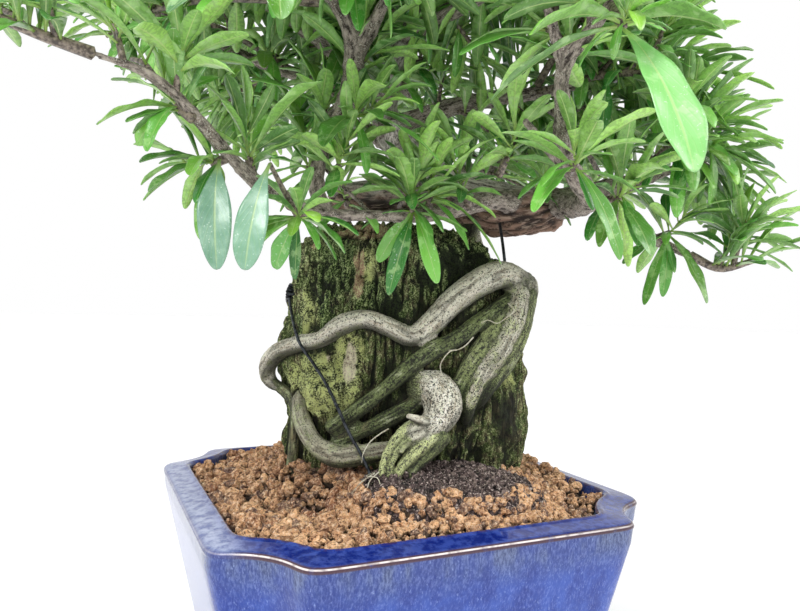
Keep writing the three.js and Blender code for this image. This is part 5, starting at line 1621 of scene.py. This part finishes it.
def blades(leaves, stations, columns, thickness):
    """Leaf blades, each a flat tube from its foot to its tip.

    The middle line is a parabola from foot to tip that bows by half the lift. The half width starts as
    a thin stalk, eases out to its full width past the middle and closes in a round tip. The section
    is a thin oval whose edges are raised as a shallow V that waves and twists along the blade.
    """
    foot, tip, lift = (leaves[key][:, None] for key in ("foot", "tip", "lift"))
    t = stations[None, :, None]
    control = (foot + tip) / 2 + lift
    centre = (1 - t) ** 2 * foot + 2 * t * (1 - t) * control + t ** 2 * tip
    tangent = unit(2 * (1 - t) * (control - foot) + 2 * t * (tip - control))
    across = unit(np.cross(lift, tip - foot))
    up = unit(np.cross(tangent, across))
    seed = leaves["seed"][:, None]
    twist = (0.7 * (chance(seed, 1) - 0.5) * stations)[..., None]
    across, up = across * np.cos(twist) + up * np.sin(twist), up * np.cos(twist) - across * np.sin(twist)
    widest = 0.6 + 0.14 * (chance(seed, 2) - 0.5)
    stalk = 0.11
    rising = stalk + (1 - stalk) * ease(stations / widest, 0.08, 1.05) ** 0.8
    closing = (1 - np.clip((stations - widest) / (1.004 - widest), 0, 1) ** 2.3) ** 0.58
    half = leaves["width"][:, None] / 2 * rising * closing
    angle = turns(columns) + np.pi / 2
    c, s = np.cos(angle), np.sin(angle)
    fold = 0.1 + 0.3 * chance(seed, 3)
    wave = 0.12 * np.sin(2 * np.pi * (2.6 * stations + chance(seed, 4))) * ease(stations, 0.2, 0.5)
    raised = (fold[..., None] + wave[..., None] * np.sign(c)) * half[..., None] * np.abs(c) ** 1.4
    round_ = np.minimum(1, half)[..., None]
    thick = thickness * (0.75 + 0.5 * (1 - ease(stations, 0.1, 0.5)))[None, :, None]
    ridge = 0.2 * np.exp(-(c / 0.2) ** 2) * np.where(s < 0, -1.0, -0.3) * round_
    out = half[..., None] * c
    rise = raised + 0.5 * thick * s + ridge * (1 - ease(stations, 0.6, 1.0))[None, :, None]
    rings = centre[:, :, None] + out[..., None] * across[:, :, None] + rise[..., None] * up[:, :, None]
    poles = np.stack([foot[:, 0], tip[:, 0]], axis=1)
    back = into_box(np.concatenate([rings.reshape(len(rings), -1, 3), poles], axis=1))[:, None]
    uv = np.stack(np.broadcast_arrays((c + 1) / 2, stations[:, None]), -1)[None]
    upper = np.broadcast_to(0.5 + 0.5 * np.sign(np.round(s, 6)), (1, len(stations), columns))
    return rings + back[:, None], poles + back, uv, upper


def into_box(points):
    """How far each whole shape has to move so that none of it sticks out of the part's own box."""
    margin = 0.2 * MM
    placed = in_frame(points)
    over = (np.minimum(BOX_HIGH - margin - placed, 0).min(axis=1)
            + np.maximum(BOX_LOW + margin - placed, 0).max(axis=1))
    return from_frame(over + in_frame(np.zeros(3)))


def add_leaves(surface, leaves, fine, thickness):
    """Adds a spray's blades with their veins' map, side and age."""
    stations, columns = (FINE_STATIONS, 14) if fine else (STATIONS, 6)
    rings, poles, uv, upper = blades(leaves, stations, columns, thickness)
    uv = np.broadcast_to(uv, rings.shape[:3] + (2,))
    looks = {"age": leaves["age"], "wax": leaves["wax"], "tint": chance(leaves["seed"], 9)}
    looks = {key: value[:, None, None] for key, value in looks.items()}
    surface.add(rings, poles, uv=uv, upper=upper, twig=0.0, **looks)


def add_twig(surface, knots):
    """Adds a woody twig along knots of x, y, z and radius."""
    rings, poles = Limb(knots, 2.0).tube(7)
    uv = np.zeros(rings.shape[:3] + (2,))
    surface.add(rings, poles, uv=uv, upper=1.0, age=0.5, wax=0.0, tint=0.5, twig=1.0)


def free_boughs():
    """Boughs that carry the crown: those with a stout foot that taper to a thin end."""
    return [knots for knots in [TRUNK, *BOUGHS] if knots[0][3] > THINNEST_FOOT and knots[-1][3] < THICKEST_END]


def tip_twig(knots):
    """A twig that goes on from the end of a bough and lifts a little."""
    last, before = np.array(knots[-1][:3], float), np.array(knots[-2][:3], float)
    along = unit(last - before)
    start = last + along * CLEARANCE
    middle = start + along * TIP_TWIG / 2
    along[2] = max(along[2], 0.25)
    return np.array([start, middle, middle + unit(along) * TIP_TWIG / 2])


def dome_twig(order, boughs):
    """A twig that reaches a place on the dome, from the bough knot that lies best for it."""
    rise = (order + 0.3) / DOME_SPRAYS
    angle = GOLDEN_ANGLE * order + 0.5 * chance(order, 1) + DOME_TURNS.get(order, 0)
    reach = CROWN_RADIUS * np.sqrt(1 - rise * rise) * (0.88 + 0.14 * chance(order, 2))
    end = np.array([reach * np.cos(angle), reach * np.sin(angle), 0.0])
    end[2] = max(CROWN_BASE + CROWN_RISE * rise, underside(end[0], end[1]) + 16)
    towards = end + (np.array([0, 0, 150.0]) - end) * 0.3
    bearers = [(np.linalg.norm(np.array(knots[i][:3]) - towards), knots[i], knots[i + 1])
               for knots in boughs for i in range(2, len(knots) - 1)]
    _, knot, following = min(bearers, key=lambda bearer: bearer[0])
    place = np.array(knot[:3], float)
    along = unit(np.array(following[:3], float) - place)
    out = end - place
    out = unit(out - along * np.dot(out, along)) * (knot[3] + 2 * CLEARANCE)
    start = place + out
    middle = (start + end) / 2 + [6 * (chance(order, 3) - 0.5), 6 * (chance(order, 4) - 0.5), 3]
    return np.array([start, middle, end])


def whorl(k, path, count, first=0, scale=1.0, below=0.0):
    """Leaves that stand round a twig by the golden angle, from its tip inwards: forwards in the tuft at
    the tip and out to the side further back. Leaves that reach further than a distance below the
    crown's underside are left out."""
    order = np.arange(count)
    share = 1 - LEAFY_SHARE * order / count
    foot, along = path.at(share), path.along(share)
    side = unit(np.cross(UP, along))
    up = np.cross(along, side)
    angle = GOLDEN_ANGLE * order + 2 * np.pi * chance(k, 5 + first)
    near, far = LEAF_SPREAD
    spread = near + (far - near) * np.minimum(1, order / LEAVES_IN_TUFT)
    spread = spread + 0.25 * (chance(k, 100 + first + order) - 0.5)
    size = scale * (LEAF_SIZES[0] + (LEAF_SIZES[1] - LEAF_SIZES[0]) * chance(k, 200 + first + order))
    way = (np.cos(spread)[:, None] * along + (np.sin(spread) * np.cos(angle))[:, None] * side
           + (np.sin(spread) * np.sin(angle))[:, None] * up)
    way[:, 2] -= LEAF_DROOP
    way = unit(way)
    tip = foot + LEAF_LENGTH * size[:, None] * way
    arch = LEAF_LENGTH * size * (0.1 + 0.16 * chance(k, 300 + first + order))
    lift = 0.5 * up + 0.8 * UP - 0.8 * way[:, 2:3] * way
    lift = unit(lift) * arch[:, None]
    lowest = underside(tip[:, 0], tip[:, 1]) - below
    kept = (tip[:, 2] >= lowest) & (foot[:, 2] >= lowest) & in_box(tip) & in_box(foot)
    leaves = {"foot": foot, "tip": tip, "lift": lift, "width": LEAF_WIDTH * size,
              "age": np.clip(0.15 + order / 14 + 0.35 * (chance(k, 400 + first + order) - 0.5), 0, 1),
              "seed": 1000.0 * k + first + order, "wax": 0 * size}
    return {key: value[kept] for key, value in leaves.items()}


def in_box(points):
    """Whether each point lies inside the part's own box, with a small margin."""
    placed = in_frame(points)
    margin = 0.5 * MM
    return ((placed > BOX_LOW + margin) & (placed < BOX_HIGH - margin)).all(axis=-1)


def side_way(path, share, turn, forward, upward):
    """Where a side twig leaves a path, and its direction: out at an angle round the path, and some way
    forward along it and upward."""
    start, along = path.at(share), path.along(share)
    side = unit(np.cross(UP, along))
    way = forward * along + np.cos(turn) * side + np.sin(turn) * np.cross(along, side) + upward * UP
    return start, unit(way)


def leafy_twig(surface, k, start, end, room, arch, count, first, scale, thickness):
    """A short arched twig with its leaves, left out where it ends below the crown or outside the box."""
    if end[2] < underside(end[0], end[1]) + room or not in_box(end):
        return
    knots = np.array([start, (start + end) / 2 + [0, 0, arch], end])
    add_twig(surface, [[*p, 0.95 - 0.15 * i] for i, p in enumerate(knots)])
    add_leaves(surface, whorl(k, Path(knots), count, first, scale), False, thickness)


def crown_spray(surface, k, boughs, side_twigs, thickness):
    """One twig of the crown with its leaves, and its side twigs with theirs."""
    places = tip_twig(boughs[k]) if k < len(boughs) else dome_twig(k - len(boughs), boughs)
    path = Path(places)
    add_twig(surface, [[*p, TWIG_RADIUS * (1.1 - 0.2 * i)] for i, p in enumerate(places)])
    add_leaves(surface, whorl(k, path, LEAVES_PER_TWIG), False, thickness)
    for m in range(side_twigs):
        share = 0.3 + 0.55 * (m + chance(k, 510 + m)) / side_twigs
        start, way = side_way(path, share, GOLDEN_ANGLE * m + 2 * np.pi * chance(k, 520 + m), 0.55, 0.25)
        end = start + way * (13 + 7 * chance(k, 530 + m))
        leafy_twig(surface, k, start, end, 6, 1.2, LEAVES_PER_SIDE_TWIG, 600 + 40 * m, 0.9, thickness)


def bough_shoots(surface, k, knots, thickness):
    """Short leafy shoots along the outer part of a bough, a pitch apart, which turn round it by the
    golden angle. On the boughs nearest the front every other one grows away from the viewer."""
    limb = Limb(slimmer(knots), SHOOT_PITCH / 4)
    path = Path(knots)
    count = int((0.75 + 0.5 * (knots[-1][1] < -60)) * limb.length[-1] / SHOOT_PITCH)
    for m in range(count):
        share = 0.25 + 0.72 * (m + chance(k, 710 + m)) / count
        start, way = side_way(path, share, GOLDEN_ANGLE * m + 2 * np.pi * chance(k, 730 + m), 0.5, 0.3)
        front = ease(-start[1], 35, 50)
        if start[1] < 5:
            ahead = 0.4 * way if m % 2 and front else way * [1, np.sign(way[1]), 1] + [0, 0.35, 0]
            way = unit(ahead + [0, 0, 0.35 * front])
        end = start + way * (15 + 9 * chance(k, 750 + m)) * (1 - 0.35 * front)
        leafy_twig(surface, k, start, end, 5, 1.5, LEAVES_PER_SHOOT, 800 + 40 * m, 0.95, thickness)


def front_spray(surface, name, order, thickness):
    """One spur at the front with leaves of its own, and smaller ones that follow the crown's rule."""
    start, node, rows = FRONT_SPRAYS[name]
    start, node = np.array(start, float), np.array(node, float)
    end = node + unit(node - start) * 0.8
    add_twig(surface, [[*start, TWIG_RADIUS], [*end, 0.75 * TWIG_RADIUS]])
    rows = np.array(rows, float)
    count = len(rows)
    seed = 50.0 * order + np.arange(count)
    feet = node + 0.5 * (np.stack([chance(seed, k) for k in (6, 7, 8)], -1) - 0.5)
    hanging = []
    for (spray, row), foot in HANGING_FEET.items():
        if spray == name:
            feet[row] = foot
            hanging.append(row)
            add_twig(surface, [[*node, 0.9], [*foot, 0.6]])
    leaves = {"foot": feet, "tip": rows[:, :3], "width": rows[:, 3],
              "lift": np.array([arch_of(a) for a in rows[:, 4]]), "age": 0.25 + 0.6 * chance(seed, 5), "seed": seed,
              # The hanging leaves get full painted sheen, and the biggest leaf some.
              "wax": np.maximum(np.isin(np.arange(count), hanging), 0.4 * ease(rows[:, 3], 9, 9.4))}
    add_leaves(surface, leaves, True, thickness)
    spur_leaves(surface, 60 + order, start, node, 0.72 if node[1] > -95 else 0.5, thickness)


def spur_leaves(surface, k, start, node, scale, thickness):
    """Leaves round a spur by the golden angle, from a tip that goes on and lifts beyond its node."""
    start, node = np.array(start, float), np.array(node, float)
    reach = node + 9 * unit(unit(node - start) + [0, 0.2, 0.5])
    small = whorl(k, Path([start, node, reach]), LEAVES_PER_SPUR, 900, scale, ANY_DEPTH)
    add_leaves(surface, small, False, thickness)


def leaf_material(settings):
    """Waxy leaves: green above with a light midrib and faint side veins, paler below, yellow-green at
    the stalk, each leaf with its own age and tint, some painted darker as painted shade. Pale blotches,
    and tiny pale specks on the upper sides, are painted sheen, and the hanging leaves and, in part, the
    biggest leaf are painted bluish-grey above as painted sheen. Twigs share it as grey-brown bark."""
    board = Finish("leaf", Coat_Weight=0.6, Coat_Roughness=0.2, Coat_IOR=1.5)
    place = board.place()
    u, v, _ = board.split(board.make("TexCoord", {}, {}, 2))
    age, tint, twig = (board.value(key) for key in ("age", "tint", "twig"))
    upper = board.value("upper").step(0.35, 0.65)
    across = (u - 0.5).alone("ABSOLUTE")
    blotch = board.noise(place, 4 * MM, 4, 0.6)
    old = board.mix(tint.step(0.1, 0.9), settings.upper, srgb(124, 202, 74))
    above = board.mix((age + blotch * 0.3 - 0.15).step(0.0, 0.6), settings.young, old)
    net = board.noise(place, 1.0 * MM, 2, 0.6).step(0.44, 0.58)
    below = board.layers(
        settings.under, ((age * 0.4 + 0.6 * tint).step(0.1, 0.9), srgb(104, 158, 70)), (net * 0.35, srgb(62, 98, 48)))
    shaded = (tint * 7.0).alone("FRACT").step(0.45, 0.9)
    # Bluish-grey colour of the painted sheen.
    sheen_colour = board.mix(blotch.step(0.3, 0.7), srgb(104, 146, 128), srgb(130, 164, 150))
    rib = 1 - across.step(0.012, 0.05)
    side_veins = (v * 60.0 - across * 40.0).alone("SINE").step(0.6, 1.0)
    stalk = 1 - v.step(0.06, 0.24)
    specks = board.noise(place, 0.7 * MM, 2, 0.6).step(0.66, 0.7)
    woody = board.mix(board.noise(place, 1.1 * MM, 3).step(0.35, 0.65), srgb(58, 46, 38), srgb(140, 126, 112))
    colour = board.layers(
        below, (upper, above), (shaded * 0.6, srgb(22, 82, 22)),
        # Pale blotches: painted sheen.
        (blotch.step(0.52, 0.62) * 0.34, srgb(196, 232, 160)),
        (board.value("wax") * upper * 0.85, sheen_colour), (side_veins * 0.1, srgb(150, 184, 100)),
        (rib * (0.85 - 0.3 * v - 0.3 * upper), srgb(190, 212, 138)), (stalk * 0.7, srgb(150, 176, 80)),
        # Tiny pale specks on the upper sides: painted sheen.
        (specks * 0.45 * upper, srgb(214, 228, 216)), (twig, woody))
    gloss = 0.36 + 0.2 * (1 - upper) + 0.35 * twig + 0.1 * blotch
    veins = rib * -0.6 + side_veins * 0.2 + 0.5 * board.noise(place, 1.5 * MM, 3)
    return board.finish(Base_Color=colour, Roughness=gloss, Normal=board.bump(veins, 0.6, 0.25 * MM))


class BONSAI_OT_foliage(bpy.types.Operator):
    """Build every leafy spray: those at the front leaf by leaf, and the crown by rule"""

    bl_idname = "bonsai.foliage"
    bl_label = "Foliage"

    def execute(self, context):
        settings = context.scene.bonsai_leaves
        material = leaf_material(settings)
        thickness = settings.thickness / MM
        for order, name in enumerate(FRONT_SPRAYS):
            surface = Surface()
            front_spray(surface, name, order, thickness)
            put(surface.mesh(f"foliage_{name}"), material, "leaf", f"spray_{name}")
        surface = Surface()
        for order, (start, node) in enumerate(SMALL_SPURS):
            add_twig(surface, [[*start, TWIG_RADIUS], [*node, 0.7 * TWIG_RADIUS]])
            spur_leaves(surface, 80 + order, start, node, 0.8, thickness)
        put(surface.mesh("small_spurs"), material, "leaf")
        boughs = free_boughs()
        for k in range(len(boughs) + DOME_SPRAYS):
            surface = Surface()
            crown_spray(surface, k, boughs, settings.side_twigs, thickness)
            name = f"crown_{k + 1:02d}"
            put(surface.mesh(f"foliage_{name}"), material, "leaf", f"spray_{name}")
        for k, knots in enumerate(boughs):
            surface = Surface()
            bough_shoots(surface, k, knots, thickness)
            if surface.total:
                put(surface.mesh(f"shoots_{k + 1:02d}"), material, "leaf")
        return {"FINISHED"}


# Stage


def floor_mesh():
    """A wide flat disc: rings of a circle closed by a pole above and a pole below."""
    low = np.array([0, 0, -POT_HEIGHT])
    levels = np.stack([low, low - UP * FLOOR_DEPTH])
    surface = Surface()
    surface.add((levels[:, None] + FLOOR_REACH * circle(96))[None], levels[None])
    mesh = surface.mesh("floor")
    mesh.shade_flat()
    return mesh


def add_light(name, place, size, power):
    """A square soft light that faces the middle of the plant, placed in the axes of the plant."""
    light = bpy.data.lights.new(name, "AREA")
    light.size = size
    light.energy = power
    lamp = new_object(name, light)
    back = unit(in_frame(place) - in_frame(PLANT_MIDDLE))
    right = unit(np.cross(UP, back))
    turn_to(lamp, place, np.stack([right, np.cross(back, right), back], -1))


def turn_to(thing, place, axes):
    """Stands an object at a place of the plant, with its axes as the columns of a matrix."""
    thing.matrix_world = Matrix.Translation(in_frame(place)) @ Matrix(axes.tolist()).to_4x4()


class BONSAI_OT_stage(bpy.types.Operator):
    """Set the camera, the pale floor and the soft lights"""

    bl_idname = "bonsai.stage"
    bl_label = "Stage"

    def execute(self, context):
        settings = context.scene.bonsai_stage
        camera = bpy.data.cameras.new("camera")
        camera.lens = CAMERA_LENS
        camera.sensor_width = SENSOR_WIDTH
        camera.sensor_fit = "HORIZONTAL"
        camera.clip_start = 0.01
        camera.clip_end = 50.0
        holder = new_object("camera", camera)
        level = np.array([1.0, 0, 0])
        ahead = np.array([0, np.cos(CAMERA_PITCH), -np.sin(CAMERA_PITCH)])
        down = np.array([0, -np.sin(CAMERA_PITCH), -np.cos(CAMERA_PITCH)])
        right = np.cos(CAMERA_ROLL) * level - np.sin(CAMERA_ROLL) * down
        lower = np.sin(CAMERA_ROLL) * level + np.cos(CAMERA_ROLL) * down
        turn_to(holder, CAMERA_PLACE, turned_in_frame(np.stack([right, -lower, -ahead])).T)
        context.scene.camera = holder

        board = Finish("floor", Roughness=0.7)
        grain = board.noise(board.place(), 0.05, 2)
        pale = tuple(settings.floor)
        colour = board.mix(grain, pale, tuple(0.985 * c for c in pale))
        mesh = floor_mesh()
        mesh.materials.append(board.finish(Base_Color=colour))
        floor = new_object("floor", mesh)

        world = bpy.data.worlds.new("surroundings")
        world.use_nodes = True
        sky = Board(world.node_tree)
        rise = sky.split(sky.make("TexCoord", {}, {}, 0))[2]
        shade = sky.mix(rise.step(0.4, 0.9), (settings.sky,) * 3, (settings.ceiling,) * 3)
        sky.links.new(shade.socket, sky.nodes["Background"].inputs["Color"])
        context.scene.world = world
        add_light("key_light", [-240, -480, 640], 0.36, settings.key_power)
        add_light("side_light", [620, -120, 420], 0.4, 0.45 * settings.key_power)
        even = bpy.data.lights.new("even_light", "SUN")
        even.energy = settings.sun
        even.angle = 0.9
        new_object("even_light", even).rotation_euler = (0.35, -0.3, 0.0)
        context.scene.view_settings.view_transform = "Standard"
        return {"FINISHED"}


class BONSAI_PT_panel(bpy.types.Panel):
    """Lists the pieces of the bonsai"""

    bl_idname = "BONSAI_PT_panel"
    bl_label = "Root Over Rock Bonsai"
    bl_space_type = "VIEW_3D"
    bl_region_type = "UI"
    bl_category = "Bonsai"

    def draw(self, context):
        for operator, group in STEPS:
            self.layout.operator(operator)
            settings = getattr(context.scene, group, None)
            if settings is not None:
                for key in settings.bl_rna.properties.keys():
                    if key not in ("name", "rna_type"):
                        self.layout.prop(settings, key)


GROUPS = {
    "bonsai_stage": StageSettings,
    "bonsai_pot": PotSettings,
    "bonsai_soil": SoilSettings,
    "bonsai_rock": RockSettings,
    "bonsai_wood": WoodSettings,
    "bonsai_leaves": LeafSettings,
}
STEPS = [
    ("bonsai.stage", "bonsai_stage"),
    ("bonsai.pot", "bonsai_pot"),
    ("bonsai.soil", "bonsai_soil"),
    ("bonsai.rock", "bonsai_rock"),
    ("bonsai.wood", "bonsai_wood"),
    ("bonsai.wires", ""),
    ("bonsai.foliage", "bonsai_leaves"),
]
CLASSES = [
    *GROUPS.values(), BONSAI_OT_stage, BONSAI_OT_pot, BONSAI_OT_soil, BONSAI_OT_rock, BONSAI_OT_wood,
    BONSAI_OT_wires, BONSAI_OT_foliage, BONSAI_PT_panel,
]


def register():
    for kind in CLASSES:
        bpy.utils.register_class(kind)
    for name, group in GROUPS.items():
        setattr(bpy.types.Scene, name, PointerProperty(type=group))


def unregister():
    for name in GROUPS:
        delattr(bpy.types.Scene, name)
    for kind in reversed(CLASSES):
        bpy.utils.unregister_class(kind)


def main():
    """Builds every piece in order."""
    register()
    bpy.ops.bonsai.stage()
    bpy.ops.bonsai.pot()
    bpy.ops.bonsai.soil()
    bpy.ops.bonsai.rock()
    bpy.ops.bonsai.wood()
    bpy.ops.bonsai.wires()
    bpy.ops.bonsai.foliage()


if __name__ == "__main__":
    main()
